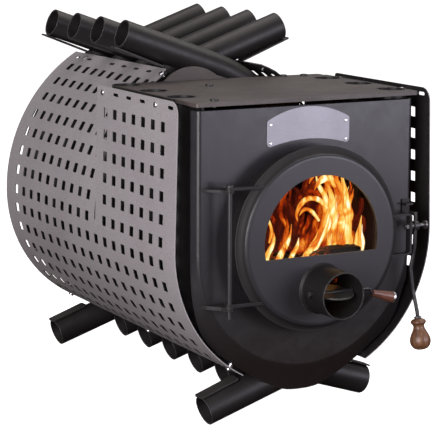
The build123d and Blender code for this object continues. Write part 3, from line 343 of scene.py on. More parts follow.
def shield_material():
    """Fine-textured silver-grey coating with light and dark flecks."""
    t = Tree("shield_paint")
    clouds = t.noise(3.2, 4, 0.55, 0.5)
    fleck = t.noise(620, 3, 0.75)
    fleck2 = t.voronoi(430)
    mid = t.noise(110, 5, 0.65)
    tone = t.ramp(t.fit(clouds, 0.32, 0.68), [(0.0, (0.275, 0.252, 0.264)), (0.5, (0.315, 0.294, 0.309)), (1.0, (0.345, 0.328, 0.336))])
    tone = t.mix(t.fit(fleck, 0.40, 0.60, 0.0, 0.65), tone, (0.185, 0.170, 0.172))
    tone = t.mix(t.fit(fleck2, 0.30, 0.10, 0.0, 0.55), tone, (0.52, 0.50, 0.51))
    tone = t.mix(t.fit(mid, 0.55, 0.75, 0.0, 0.30), tone, (0.22, 0.20, 0.20))
    bev = t.bevel(0.0006)
    edge = t.edge(bev)
    tone = t.mix(t.math("MULTIPLY", edge, 0.35), tone, (0.48, 0.47, 0.47))
    place = t.nt.nodes.new("ShaderNodeSeparateXYZ")
    t.link(t.coord, place.inputs[0])
    py, pz = place.outputs[1], place.outputs[2]
    out = t.nt.nodes.new("ShaderNodeVectorMath")
    out.operation = "NORMALIZE"
    t.link(t.mapping((1.0, 0.0, 1.0), location=(0.0, 0.0, -0.3556)), out.inputs[0])
    facing = t.nt.nodes.new("ShaderNodeVectorMath")
    facing.operation = "DOT_PRODUCT"
    t.link(out.outputs[0], facing.inputs[0])
    t.link(t.geometry("True Normal"), facing.inputs[1])
    side = facing.outputs["Value"]
    # Faces turned in towards the stove and the walls of the slots are given a near-black tone.
    inside = t.fit(side, -0.40, -0.52)
    wall = t.fit(t.math("ABSOLUTE", side), 0.56, 0.46)
    where = t.math("MULTIPLY", t.fit(py, -0.4046, -0.4040), t.fit(py, 0.4336, 0.4330))
    where = t.math("MULTIPLY", where, t.math("MULTIPLY", t.fit(pz, 0.115, 0.117), t.fit(pz, 0.660, 0.658)))
    where = t.math("MULTIPLY", where, t.math("MAXIMUM", t.fit(pz, 0.613, 0.611), t.fit(py, -0.372, -0.370)))
    inner_dark_mask = t.math("MAXIMUM", inside, t.math("MULTIPLY", wall, where))
    scale = t.mix(t.fit(mid, 0.4, 0.7), (0.0085, 0.0075, 0.0078), (0.016, 0.0135, 0.0130))
    tone = t.mix(inner_dark_mask, tone, scale)
    t.set(Base_Color=tone, Metallic=0.0, Roughness=t.fit(fleck, 0.3, 0.7, 0.46, 0.66))
    n = t.bump(fleck, 0.35, 0.0005, bev)
    n = t.bump(mid, 0.08, 0.001, n)
    t.set(Normal=n)
    return t.mat


def zinc_material():
    t = Tree("zinc")
    spangle = t.voronoi(260, out="Color")
    n = t.nt.nodes.new("ShaderNodeSeparateColor")
    t.link(spangle, n.inputs[0])
    grain = t.noise(800, 4, 0.6)
    tone = t.mix(t.fit(n.outputs[0], 0.0, 1.0), (0.62, 0.62, 0.64), (0.82, 0.82, 0.83))
    tone = t.mix(t.fit(grain, 0.55, 0.75, 0.0, 0.4), tone, (0.42, 0.41, 0.40))
    bev = t.bevel(0.0004)
    t.set(Base_Color=tone, Metallic=1.0, Roughness=t.fit(grain, 0.3, 0.7, 0.20, 0.36), Normal=t.bump(grain, 0.1, 0.0003, bev))
    return t.mat


def worn_steel():
    """Handled steel: dull grey with brown staining and a rubbed sheen."""
    t = Tree("worn_steel")
    stain = t.noise(90, 5, 0.65, 0.6)
    grain = t.noise(800, 4, 0.6)
    tone = t.mix(t.fit(stain, 0.35, 0.7), (0.17, 0.166, 0.17), (0.07, 0.062, 0.057))
    bev = t.bevel(0.0005)
    tone = t.mix(t.math("MULTIPLY", t.edge(bev), 0.6), tone, (0.38, 0.37, 0.37))
    t.set(Base_Color=tone, Metallic=0.85, Roughness=t.fit(grain, 0.3, 0.7, 0.30, 0.46), Normal=t.bump(grain, 0.12, 0.0003, bev))
    return t.mat


def nameplate_material():
    """Satin plate, finely brushed from side to side, with lighter edges."""
    t = Tree("nameplate_metal")
    brush = t.noise(90, 6, 0.7, 0.0, t.mapping((1.0, 1.0, 26.0)))
    clouds = t.noise(14, 4, 0.6)
    tone = t.mix(t.fit(brush, 0.3, 0.7), (0.240, 0.236, 0.272), (0.335, 0.326, 0.372))
    tone = t.mix(t.fit(clouds, 0.35, 0.7, 0.0, 0.45), tone, (0.19, 0.186, 0.215))
    bev = t.bevel(0.0006)
    tone = t.mix(t.math("MULTIPLY", t.edge(bev), 0.7), tone, (0.68, 0.67, 0.70))
    t.set(Base_Color=tone, Metallic=0.25, Roughness=t.fit(brush, 0.3, 0.7, 0.34, 0.48), Normal=t.bump(brush, 0.12, 0.0003, bev))
    return t.mat


def damper_material():
    t = Tree("damper_steel")
    scale_n = t.noise(55, 6, 0.65, 0.7)
    grain = t.noise(600, 4, 0.6)
    tone = t.ramp(t.fit(scale_n, 0.3, 0.72), [(0.0, (0.030, 0.028, 0.028)), (0.5, (0.055, 0.051, 0.049)), (1.0, (0.085, 0.078, 0.072))])
    # Edges lightened almost to bright steel: rubbed metal and a painted highlight on the rim.
    bev = t.bevel(0.0009)
    tone = t.mix(t.math("MULTIPLY", t.edge(bev), 0.9), tone, (0.60, 0.58, 0.56))
    t.set(Base_Color=tone, Metallic=0.35, Roughness=t.fit(scale_n, 0.3, 0.7, 0.30, 0.48), Normal=t.bump(grain, 0.15, 0.0004, bev))
    return t.mat


def wood_material(name, axis, tones, gloss):
    """Turned beech: grain along the axis, pores, faint turning rings, waxed."""
    t = Tree(name)
    q = Vector(axis).normalized().rotation_difference(Vector((0, 0, 1))).to_euler()
    own = t.mapping((1, 1, 1), rotation=tuple(q))
    along = t.mapping((1.0, 1.0, 0.13), source=own)
    figure = t.noise(95, 6, 0.62, 1.6, along)
    rings = t.wave(70, 6.0, 3.0, along, "RINGS", "Y")
    pores = t.noise(900, 3, 0.6, 0.0, t.mapping((1.0, 1.0, 0.10), source=own))
    turned = t.wave(330, 1.0, 1.0, own, "BANDS", "Z")
    tone = t.ramp(t.fit(figure, 0.28, 0.72), [(0.0, tones[0]), (0.5, tones[1]), (1.0, tones[2])])
    tone = t.mix(t.fit(rings, 0.2, 0.9, 0.0, 0.45), tone, tones[0])
    tone = t.mix(t.fit(pores, 0.58, 0.72, 0.0, 0.55), tone, scaled(tones[0], 0.45))
    t.set(Base_Color=tone, Metallic=0.0, Roughness=t.fit(figure, 0.3, 0.7, gloss, gloss + 0.12))
    t.bsdf.inputs["Coat Weight"].default_value = 0.25
    t.bsdf.inputs["Coat Roughness"].default_value = 0.25
    n = t.bump(pores, 0.15, 0.0004)
    n = t.bump(turned, 0.10, 0.0003, n)
    t.set(Normal=n)
    return t.mat


def glass_material():
    t = Tree("window_glass")
    haze = t.noise(16, 4, 0.6, 0.6)
    t.set(Base_Color=t.mix(t.fit(haze, 0.4, 0.8, 0.0, 0.25), (1.0, 0.985, 0.95), (0.86, 0.78, 0.66)), Roughness=t.fit(haze, 0.45, 0.8, 0.0, 0.03))
    t.bsdf.inputs["Transmission Weight"].default_value = 1.0
    t.bsdf.inputs["IOR"].default_value = 1.14
    return t.mat


def rope_material(name="glass_rope", pale=1.0):
    t = Tree(name)
    fibres = t.noise(1500, 4, 0.7)
    soil = t.noise(40, 5, 0.6, 0.5)
    tone = t.mix(t.fit(fibres, 0.3, 0.7), scaled((0.42, 0.40, 0.36), pale), scaled((0.66, 0.64, 0.59), pale))
    tone = t.mix(t.fit(soil, 0.45, 0.75, 0.0, 0.6), tone, scaled((0.20, 0.18, 0.16), pale))
    t.set(Base_Color=tone, Roughness=t.fit(fibres, 0.3, 0.7, 0.8, 0.95), Normal=t.bump(fibres, 0.4, 0.0006))
    t.bsdf.inputs["Sheen Weight"].default_value = 0.3
    return t.mat


def char_material():
    """Charred log: crazed black surface with embers glowing in the cracks, lighter ash on the high spots."""
    t = Tree("charred_wood")
    own = t.mapping((1.0, 1.0, 1.0))
    crack = t.voronoi(62, "DISTANCE_TO_EDGE", "Distance", own)
    crack2 = t.voronoi(150, "DISTANCE_TO_EDGE", "Distance", own)
    ash = t.noise(60, 6, 0.65)
    heat = t.noise(13, 3, 0.5)
    tone = t.ramp(t.fit(ash, 0.35, 0.7), [(0.0, (0.006, 0.005, 0.005)), (0.55, (0.014, 0.010, 0.009)), (1.0, (0.040, 0.033, 0.030))])
    glow = t.math("MULTIPLY", t.fit(crack, 0.05, 0.0), t.fit(heat, 0.48, 0.70))
    t.set(Base_Color=tone, Roughness=t.fit(ash, 0.3, 0.7, 0.75, 0.95))
    t.put(t.bsdf.inputs["Emission Color"], t.ramp(glow, [(0.0, (0.25, 0.01, 0.0)), (0.5, (1.0, 0.16, 0.01)), (1.0, (1.0, 0.45, 0.06))]))
    t.put(t.bsdf.inputs["Emission Strength"], t.math("MULTIPLY", glow, 1.6))
    n = t.bump(crack, 0.5, 0.003)
    n = t.bump(crack2, 0.3, 0.001, n)
    t.set(Normal=n)
    return t.mat


def ember_material():
    t = Tree("embers")
    heat = t.noise(24, 4, 0.6, 0.4)
    ash = t.noise(150, 5, 0.65)
    depth = t.nt.nodes.new("ShaderNodeSeparateXYZ")
    t.link(t.coord, depth.inputs[0])
    hot = t.math("MULTIPLY", t.fit(heat, 0.46, 0.72), t.fit(depth.outputs[1], -0.12, 0.0))
    tone = t.mix(t.fit(ash, 0.4, 0.65), (0.010, 0.008, 0.008), (0.09, 0.08, 0.075))
    t.set(Base_Color=tone, Roughness=t.fit(ash, 0.3, 0.7, 0.8, 0.95))
    t.put(t.bsdf.inputs["Emission Color"], t.ramp(hot, [(0.0, (0.12, 0.004, 0.0)), (0.5, (0.9, 0.10, 0.005)), (1.0, (1.0, 0.42, 0.05))]))
    t.put(t.bsdf.inputs["Emission Strength"], t.math("MULTIPLY", t.math("MULTIPLY", hot, t.fit(ash, 0.7, 0.35)), 2.2))
    t.set(Normal=t.bump(ash, 0.6, 0.002))
    return t.mat


def flame_material(name, stops, strength, scale, lift=0.0, soft=0.55):
    """Burning gas: white-hot in the core, thin and see-through at the edge, streaked by swirling licks."""
    t = Tree(name)
    heat = t.attribute("heat")
    core = t.attribute("core")
    swirl = t.noise(scale, 4, 0.55, 2.6, t.mapping((1.0, 1.0, 0.50)))
    fine = t.noise(scale * 2.4, 4, 0.6, 1.6, t.mapping((1.0, 1.0, 0.36)))
    v = t.math("ADD", t.math("MULTIPLY", heat, 0.36), t.math("MULTIPLY", core, 0.52))
    v = t.math("ADD", v, t.fit(swirl, 0.30, 0.70, -0.58 + lift, 0.44 + lift))
    v = t.math("ADD", v, t.fit(fine, 0.30, 0.70, -0.11, 0.11))
    colour = t.ramp(t.fit(v, 0.0, 1.0), stops)
    t.set(Base_Color=(0.0, 0.0, 0.0, 1.0), Roughness=1.0)
    t.bsdf.inputs["Specular IOR Level"].default_value = 0.0
    t.put(t.bsdf.inputs["Emission Color"], colour)
    t.put(t.bsdf.inputs["Emission Strength"], t.fit(v, 0.0, 1.0, strength * 0.65, strength))
    t.put(t.bsdf.inputs["Alpha"], t.math("MULTIPLY", t.fit(core, 0.04, soft), t.fit(v, 0.0, 0.30)))
    return t.mat


assign(TUBES_ALL, tube_paint)
assign(["firebox_webs_left", "firebox_webs_right", "rear_plate", "flue_outlet", "baffle_plate", "upper_straps", "lower_straps", "left_shield_bars", "right_shield_bars"], body_paint)
assign(["front_shell"], front_paint)
assign(["door_pan"], door_material())
assign(["door_collar", "seal_channel"], collar_paint)
assign(["air_spigot"], spigot_material())
assign(["hinge_lugs_stove", "hinge_lugs_door", "latch_bracket", "latch_catch"], collar_paint)
assign(["hinge_pin", "latch_lever", "face_nib", "plate_bolts", "damper_axle_nut", "damper_axle", "glass_frame"], fitting_paint)
assign(["cook_plate", "closing_sheet"], plate_material())
assign(["left_shield", "right_shield"], shield_material())
zinc = zinc_material()
assign(["left_shield_bolts", "right_shield_bolts", "left_shield_bushes", "right_shield_bushes", "glass_clips", "glass_screws", "nameplate_rivets", "damper_handle_cap"], zinc)
assign(["latch_bolt", "latch_collar"], worn_steel())
assign(["nameplate"], nameplate_material())
assign(["damper_disc"], damper_material())
assign(["latch_knob"], wood_material("turned_wood_knob", (0.055, -0.15, -0.987), [(0.075, 0.030, 0.014), (0.155, 0.070, 0.034), (0.27, 0.130, 0.064)], 0.38))
assign(["damper_handle"], wood_material("turned_wood_handle", (0.965, 0.0, -0.263), [(0.060, 0.018, 0.012), (0.135, 0.048, 0.030), (0.24, 0.100, 0.062)], 0.34))
assign(["door_glass"], glass_material())
rope_mat = rope_material()


# ------------------------------------------------------------------ mesh helpers
def new_object(name, verts, faces, mat, smooth=True, attrs=None):
    me = bpy.data.meshes.new(name)
    me.from_pydata([tuple(v) for v in verts], [], faces)
    me.update()
    for p in me.polygons:
        p.use_smooth = smooth
    for key, values in (attrs or {}).items():
        a = me.attributes.new(key, "FLOAT", "POINT")
        a.data.foreach_set("value", np.array(values, np.float32))
    o = bpy.data.objects.new(name, me)
    bpy.context.scene.collection.objects.link(o)
    me.materials.append(mat)
    return o


def tube_rings(path, frames, section, closed=False):
    """Vertices and faces of a tube: section(i, j) gives (u, v) offsets on the frame at path point i."""
    verts, faces = [], []
    m = len(section(0))
    for i, p in enumerate(path):
        a, b = frames[i]
        for u, v in section(i):
            verts.append(p + a * u + b * v)
    n = len(path)
    last = n if closed else n - 1
    for i in range(last):
        for j in range(m):
            k = (i + 1) % n
            faces.append((i * m + j, i * m + (j + 1) % m, k * m + (j + 1) % m, k * m + j))
    if not closed:
        faces.append(tuple(range(m - 1, -1, -1)))
        faces.append(tuple(range((n - 1) * m, n * m)))
    return verts, faces


def catmull(points, n):
    """Evenly stepped Catmull-Rom curve through tuples of any length."""
    pts = [np.array(p, float) for p in points]
    pts = [2 * pts[0] - pts[1]] + pts + [2 * pts[-1] - pts[-2]]
    out = []
    spans = len(pts) - 3
    for k in range(n):
        u = k / (n - 1) * spans
        i = min(int(u), spans - 1)
        f = u - i
        a, b, c, d = pts[i : i + 4]
        out.append(0.5 * (2 * b + (c - a) * f + (2 * a - 5 * b + 4 * c - d) * f * f + (3 * b - a - 3 * c + d) * f ** 3))
    return out


# ------------------------------------------------------------------ rope seal in the door's channel
def rope_seal():
    centre = P(0, -31.0, 368.0)
    ring_r, n = 0.166, 1128
    verts, faces = [], []
    strands = [(s, k) for s in (1, -1) for k in range(4)]
    for s, k in strands:
        path, frames = [], []
        for i in range(n):
            a = 2 * math.pi * i / n
            out = Vector((math.cos(a), 0, math.sin(a)))
            phi = s * 47 * a + k * math.pi / 2
            over = math.cos(2 * (s * phi) + (0 if s > 0 else math.pi))
            rr = 0.00375 + 0.00035 * over
            path.append(centre + out * (ring_r + rr * math.cos(phi)) + Vector((0, 1, 0)) * rr * math.sin(phi))
        for i in range(n):
            tangent = (path[(i + 1) % n] - path[i - 1]).normalized()
            radial = (path[i] - (centre + Vector((path[i].x - centre.x, 0, path[i].z - centre.z)).normalized() * ring_r)).normalized()
            side = tangent.cross(radial).normalized()
            frames.append((radial, side))
        ring = [(0.0013 * math.cos(q), 0.0021 * math.sin(q)) for q in [2 * math.pi * j / 6 for j in range(6)]]
        v, f = tube_rings(path, frames, lambda i: ring, closed=True)
        base = len(verts)
        verts += v
        faces += [tuple(x + base for x in q) for q in f]
    path = [centre + Vector((math.cos(2 * math.pi * i / 240), 0, math.sin(2 * math.pi * i / 240))) * ring_r for i in range(240)]
    frames = [((p - centre).normalized(), Vector((0, 1, 0))) for p in path]
    ring = [(0.0036 * math.cos(q), 0.0036 * math.sin(q)) for q in [2 * math.pi * j / 8 for j in range(8)]]
    v, f = tube_rings(path, frames, lambda i: ring, closed=True)
    base = len(verts)
    verts += v
    faces += [tuple(x + base for x in q) for q in f]
    o = new_object("door_rope", verts, faces, rope_mat)
    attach(o, "door")
    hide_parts("door_seal")


rope_seal()


# ------------------------------------------------------------------ woven tape behind the glass edge
def glass_tape():
    radius, flat, cz = 131.75, 335.5, 368.0
    half = math.acos((flat - cz) / radius)
    pts = []
    a0, a1 = -half + math.pi / 2, half + math.pi / 2
    for i in range(420):
        a = a0 + (a1 - a0) * i / 419
        pts.append((radius * math.cos(a), cz + radius * math.sin(a)))
    x0 = pts[-1][0]
    for i in range(1, 160):
        pts.append((x0 + (pts[0][0] - x0) * i / 160, flat))
    pts = [np.array(p) for p in pts]
    for _ in range(14):
        pts = [(pts[i - 1] + pts[i] * 2 + pts[(i + 1) % len(pts)]) / 4 for i in range(len(pts))]
    path, frames = [], []
    n = len(pts)
    for i in range(n):
        t = pts[(i + 1) % n] - pts[i - 1]
        t /= np.linalg.norm(t)
        path.append(P(pts[i][0], -52.95, pts[i][1]))
        frames.append((Vector((t[1], 0, -t[0])), Vector((0, 1, 0))))

    def section(i):
        rib = 0.00006 * math.sin(i * 2.2)
        w, h = 0.00395, 0.00080
        return [(w, -h * 0.5), (w, h * 0.5), (w * 0.86, h + rib), (w * 0.3, h - rib), (-w * 0.3, h + rib), (-w * 0.86, h - rib), (-w, h * 0.5), (-w, -h * 0.5), (-w * 0.86, -h + rib), (-w * 0.3, -h - rib), (w * 0.3, -h + rib), (w * 0.86, -h - rib)]

    v, f = tube_rings(path, frames, section, closed=True)
    o = new_object("glass_tape", v, f, rope_material("sooted_tape", 0.07))
    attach(o, "door")
    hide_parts("glass_gasket")


glass_tape()

# ------------------------------------------------------------------ fire
char = char_material()


def log_piece(name, a, b, radius, seed, split=None, lean=0.0):
    """Charred log between two points: bark ridges, a split face and rough sawn ends."""
    rng = random.Random(seed)
    A, B = P(*a), P(*b)
    d = (B - A).normalized()
    side = d.cross(Vector((0, 0, 1))).normalized()
    upv = side.cross(d).normalized()
    n, m = 56, 40
    verts, faces = [], []
    for i in range(n):
        t = i / (n - 1)
        c = A.lerp(B, t) + upv * 0.006 * math.sin(t * 3.1 + seed) + side * 0.004 * math.sin(t * 2.3 + seed * 2)
        endw = 1.0 - 0.10 * max(0.0, 1 - t / 0.03) - 0.10 * max(0.0, 1 - (1 - t) / 0.03)
        for j in range(m):
            q = 2 * math.pi * j / m
            r = radius / 1000.0 * endw
            p0 = c + side * math.cos(q) * r + upv * math.sin(q) * r
            ridge = noise.noise(Vector((math.cos(q) * 4, math.sin(q) * 4, t * 2.2 + seed))) * 0.10
            fine = noise.noise(p0 * 95 + Vector((seed, 0, 0))) * 0.05
            r *= 1 + ridge + fine
            x, y = math.cos(q) * r, math.sin(q) * r
            if split is not None:
                ca, sa = math.cos(split), math.sin(split)
                h = x * ca + y * sa
                lim = radius / 1000.0 * 0.42 + 0.0016 * noise.noise(Vector((t * 9, x * 200, seed)))
                if h > lim:
                    x -= ca * (h - lim)
                    y -= sa * (h - lim)
            verts.append(c + side * x + upv * y)
    for i in range(n - 1):
        for j in range(m):
            faces.append((i * m + j, i * m + (j + 1) % m, (i + 1) * m + (j + 1) % m, (i + 1) * m + j))
    for base, sign in ((0, -1), ((n - 1) * m, 1)):
        centre = sum((verts[base + j] for j in range(m)), Vector()) / m + d * sign * 0.001
        inner = []
        for j in range(m):
            v = verts[base + j].lerp(centre, 0.55) + d * sign * 0.0016 * noise.noise(verts[base + j] * 130)
            inner.append(len(verts))
            verts.append(v)
        tip = len(verts)
        verts.append(centre)
        for j in range(m):
            k = (j + 1) % m
            quad = (base + j, base + k, inner[k], inner[j])
            faces.append(quad if sign > 0 else quad[::-1])
            tri = (inner[j], inner[k], tip)
            faces.append(tri if sign > 0 else tri[::-1])
    o = new_object(name, verts, faces, char)
    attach(o, "stove")
    return o


log_piece("log_front", (-95, 92, 262), (205 - 40, 62, 300), 33, 3, split=math.radians(75))
log_piece("log_top", (26, 32, 318), (132, 30, 323), 18, 31, split=math.radians(88))
log_piece("log_cross", (-110, 84, 296), (120, 70, 290), 26, 27)
log_piece("log_middle", (-120, 175, 250), (150, 150, 272), 40, 5, split=math.radians(100))
log_piece("log_rear", (-110, 265, 262), (140, 300, 285), 38, 9)
log_piece("log_leaning", (-105, 120, 300), (-30, 330, 372), 27, 12, split=math.radians(40))
log_piece("log_left", (-150, 60, 238), (-40, 250, 255), 30, 15)


def ember_bed():
    """Lumps of glowing charcoal and ash heaped along the bottom of the firebox."""
    rng = random.Random(21)
    bm = bmesh.new()
    for k in range(150):
        x = rng.uniform(-118, 118)
        y = rng.uniform(40, 420)
        floor = 176 + 0.0022 * x * x
        z = floor + rng.uniform(0, 34) * (1 - abs(x) / 150)
        size = rng.uniform(9, 19) / 1000.0
        ret = bmesh.ops.create_icosphere(bm, subdivisions=2, radius=size, matrix=Matrix.Translation(P(x, y, z)))
        c = P(x, y, z)
        sx, sz = rng.uniform(0.8, 1.35), rng.uniform(0.55, 0.85)
        for v in ret["verts"]:
            d = v.co - c
            d = Vector((d.x * sx, d.y, d.z * sz))
            v.co = c + d * (1 + 0.35 * noise.noise(v.co * 70))
    me = bpy.data.meshes.new("ember_bed")
    bm.to_mesh(me)
    bm.free()
    o = bpy.data.objects.new("ember_bed", me)
    bpy.context.scene.collection.objects.link(o)
    me.materials.append(ember_material())
    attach(o, "stove")


ember_bed()


def flames(name, tongues, mat, body="stove", rings=30, around=12):
    """Tongues of flame: each is (y, dy, depth, [(x, z, half width), ...]) from base to tip."""
    verts, faces, heat, core = [], [], [], []
    for number, (y, dy, depth, keys) in enumerate(tongues):
        pts = catmull(keys, rings)
        base = len(verts)
        for i, (x, z, w) in enumerate(pts):
            t = i / (rings - 1)
            a = pts[max(i - 1, 0)]
            b = pts[min(i + 1, rings - 1)]
            tx, tz = b[0] - a[0], b[1] - a[1]
            ln = math.hypot(tx, tz) or 1.0
            nx, nz = tz / ln, -tx / ln
            wob = 1 + 0.22 * noise.noise(Vector((x * 0.045, z * 0.05, number * 3.7)))
            drift = 2.6 * noise.noise(Vector((z * 0.03, number * 1.7, 4.0)))
            w = max(w, 0.25) * wob
            for j in range(around):
                q = 2 * math.pi * j / around
                u, v = math.cos(q) * w, math.sin(q) * w * depth
                verts.append(P(x + nx * u + drift * t, y + dy * t + v, z + nz * u))
                heat.append(1.0 - t)
                core.append(abs(math.sin(q)))
        for i in range(rings - 1):
            for j in range(around):
                k = (j + 1) % around
                faces.append((base + i * around + j, base + (i + 1) * around + j, base + (i + 1) * around + k, base + i * around + k))
        faces.append(tuple(base + j for j in range(around)))
        faces.append(tuple(base + (rings - 1) * around + j for j in reversed(range(around))))
    o = new_object(name, verts, faces, mat, attrs={"heat": heat, "core": core})
    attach(o, "stove")
    return o


HOT = [(0.0, (0.42, 0.030, 0.003)), (0.22, (0.85, 0.12, 0.008)), (0.42, (1.0, 0.33, 0.030)), (0.62, (1.0, 0.62, 0.12)), (0.80, (1.0, 0.86, 0.38)), (1.0, (1.0, 0.98, 0.82))]
WARM = [(0.0, (0.20, 0.010, 0.001)), (0.30, (0.55, 0.045, 0.003)), (0.55, (0.95, 0.20, 0.012)), (0.78, (1.0, 0.45, 0.055)), (1.0, (1.0, 0.78, 0.26))]
DIM = [(0.0, (0.035, 0.004, 0.002)), (0.40, (0.085, 0.008, 0.003)), (0.66, (0.20, 0.018, 0.003)), (0.88, (0.48, 0.060, 0.006)), (1.0, (0.80, 0.16, 0.015))]


def wavy(seed, y, base, tip, width, bend, knots=6):
    """One thin tongue from base to tip (x, z), swaying to and fro on the way."""
    rng = random.Random(seed)
    keys = []
    for i in range(knots + 1):
        t = i / knots
        sway = bend * math.sin(t * math.pi * rng.uniform(1.3, 2.1) + rng.uniform(-0.6, 0.6)) * (0.4 + t)
        body = math.sin(math.pi * min(1.0, 0.30 + 0.70 * t)) ** 0.7
        keys.append((base[0] + (tip[0] - base[0]) * t + sway, base[1] + (tip[1] - base[1]) * t, max(0.3, width * body * rng.uniform(0.8, 1.2)) if i < knots else 0.25))
    return (y, rng.uniform(4, 12), 0.5, keys)


# tall column right of the middle, woven from thin strands
front_tongues = [
    wavy(11, 40, (104, 316), (96, 500), 12, 6),
    wavy(12, 46, (92, 318), (78, 498), 9, 8),
    wavy(13, 36, (118, 318), (112, 494), 9, 5),
    wavy(14, 52, (84, 320), (64, 484), 7, 9),
    wavy(15, 44, (110, 350), (92, 506), 7, 8),
    wavy(16, 34, (100, 318), (118, 452), 6, 6),
    (42, 6, 0.5, [(104, 440, 4), (92, 460, 8), (70, 470, 8), (52, 462, 5), (42, 446, 0.3)]),
    (38, 6, 0.5, [(86, 452, 4), (66, 486, 7), (46, 488, 6), (34, 474, 4), (30, 462, 0.3)]),
    # curl at the upper left of the column
    (48, 6, 0.5, [(78, 404, 3), (58, 426, 5), (34, 432, 5.5), (16, 420, 5), (8, 400, 3.5), (12, 386, 0.3)]),
    (54, 6, 0.5, [(60, 384, 3), (44, 404, 4.5), (28, 408, 4), (18, 396, 0.3)]),
    # diagonal tongues low on the left of the column
    (36, 8, 0.5, [(10, 304, 7), (26, 326, 8), (46, 350, 7), (62, 378, 5), (72, 404, 3), (76, 420, 0.3)]),
    (44, 8, 0.5, [(34, 312, 6), (52, 338, 7), (70, 366, 6), (80, 398, 3), (84, 416, 0.3)]),
    # small tongues at the far left
    (38, 6, 0.5, [(-76, 306, 7), (-66, 328, 7), (-54, 348, 5), (-52, 366, 3), (-58, 384, 0.3)]),
    (44, 4, 0.5, [(-44, 300, 7), (-34, 322, 7), (-20, 344, 5.5), (-10, 366, 3), (-6, 384, 0.3)]),
    (40, 4, 0.5, [(-62, 352, 2.2), (-56, 376, 3.6), (-62, 398, 2.6), (-58, 416, 0.3)]),
    (42, 4, 0.5, [(-20, 300, 5), (-8, 320, 5), (4, 338, 4), (8, 356, 0.3)]),
    # hot triangle and the wavy tongue on the right
    (34, 8, 0.5, [(138, 312, 10), (140, 330, 10), (142, 350, 6.5), (148, 370, 3.5), (152, 390, 0.3)]),
    (44, 6, 0.5, [(124, 318, 8), (126, 344, 8), (122, 368, 6), (130, 392, 6), (126, 414, 5), (134, 432, 3), (138, 444, 0.3)]),
    (50, 6, 0.5, [(158, 314, 5), (163, 334, 4.5), (160, 352, 3), (164, 368, 0.3)]),
]
mid_tongues = [
    (86, 10, 0.5, [(74, 300, 20), (82, 340, 24), (92, 390, 24), (100, 436, 21), (92, 470, 13), (96, 496, 0.3)]),
    (92, 10, 0.5, [(136, 300, 16), (134, 352, 15), (124, 392, 11), (136, 418, 8), (144, 440, 0.3)]),
    (80, 10, 0.5, [(104, 404, 8), (80, 430, 8), (54, 440, 7), (36, 428, 4), (30, 408, 0.3)]),
    (96, 8, 0.5, [(118, 446, 7), (88, 468, 8), (62, 470, 8), (44, 484, 5), (38, 498, 0.3)]),
    (78, 8, 0.5, [(-40, 290, 12), (-22, 318, 11), (-6, 340, 8), (4, 372, 4.5), (0, 396, 0.3)]),
    (88, 8, 0.5, [(12, 290, 15), (36, 322, 15), (54, 352, 13), (64, 384, 9), (60, 412, 5), (66, 432, 0.3)]),
    (84, 8, 0.5, [(164, 300, 9), (168, 330, 8), (162, 352, 5), (162, 374, 0.3)]),
    (90, 8, 0.5, [(-70, 292, 9), (-64, 330, 7), (-52, 372, 5), (-58, 410, 3), (-64, 424, 0.3)]),
    (94, 8, 0.5, [(8, 372, 4), (-4, 398, 5), (4, 430, 5), (22, 454, 3.5), (32, 468, 0.3)]),
    (82, 8, 0.5, [(30, 356, 4), (40, 382, 7), (34, 408, 6), (46, 430, 5), (42, 452, 0.3)]),
    (98, 8, 0.5, [(-26, 356, 3), (-18, 384, 5), (-26, 410, 4), (-16, 432, 0.3)]),
    (90, 8, 0.5, [(150, 350, 4), (158, 380, 6), (150, 408, 5), (160, 436, 3), (158, 452, 0.3)]),
]
back_tongues = []
rng_b = random.Random(4)
for k in range(24):
    x = -140 + 16 * k + rng_b.uniform(-8, 8)
    top = rng_b.uniform(430, 520)
    w = rng_b.uniform(18, 32)
    back_tongues.append((150 + rng_b.uniform(-14, 30), 14, 0.45, [
        (x, 312, w), (x + rng_b.uniform(-12, 16), 336, w * 1.05), (x + rng_b.uniform(-20, 24), 372, w * 0.9),
        (x + rng_b.uniform(-22, 28), (372 + top) / 2, w * 0.7), (x + rng_b.uniform(-20, 34), top, 0.3)]))
flames("flames_front", front_tongues, flame_material("flame_hot", HOT, 1.2, 17, 0.17))
flames("flames_middle", mid_tongues, flame_material("flame_warm", WARM, 0.95, 17, -0.16))
flames("flames_back", back_tongues, flame_material("flame_dim", DIM, 1.0, 18, -0.06, 0.30))


# ------------------------------------------------------------------ studio
def disc(name, radius, z, mat, n=96):
    verts = [Vector((0, 0, z))]
    for r in (0.5, 1.0):
        verts += [Vector((math.cos(2 * math.pi * i / n) * radius * r, math.sin(2 * math.pi * i / n) * radius * r, z)) for i in range(n)]
    faces = [(0, 1 + i, 1 + (i + 1) % n) for i in range(n)]
    faces += [(1 + i, 1 + n + i, 1 + n + (i + 1) % n, 1 + (i + 1) % n) for i in range(n)]
    return new_object(name, verts, faces, mat)


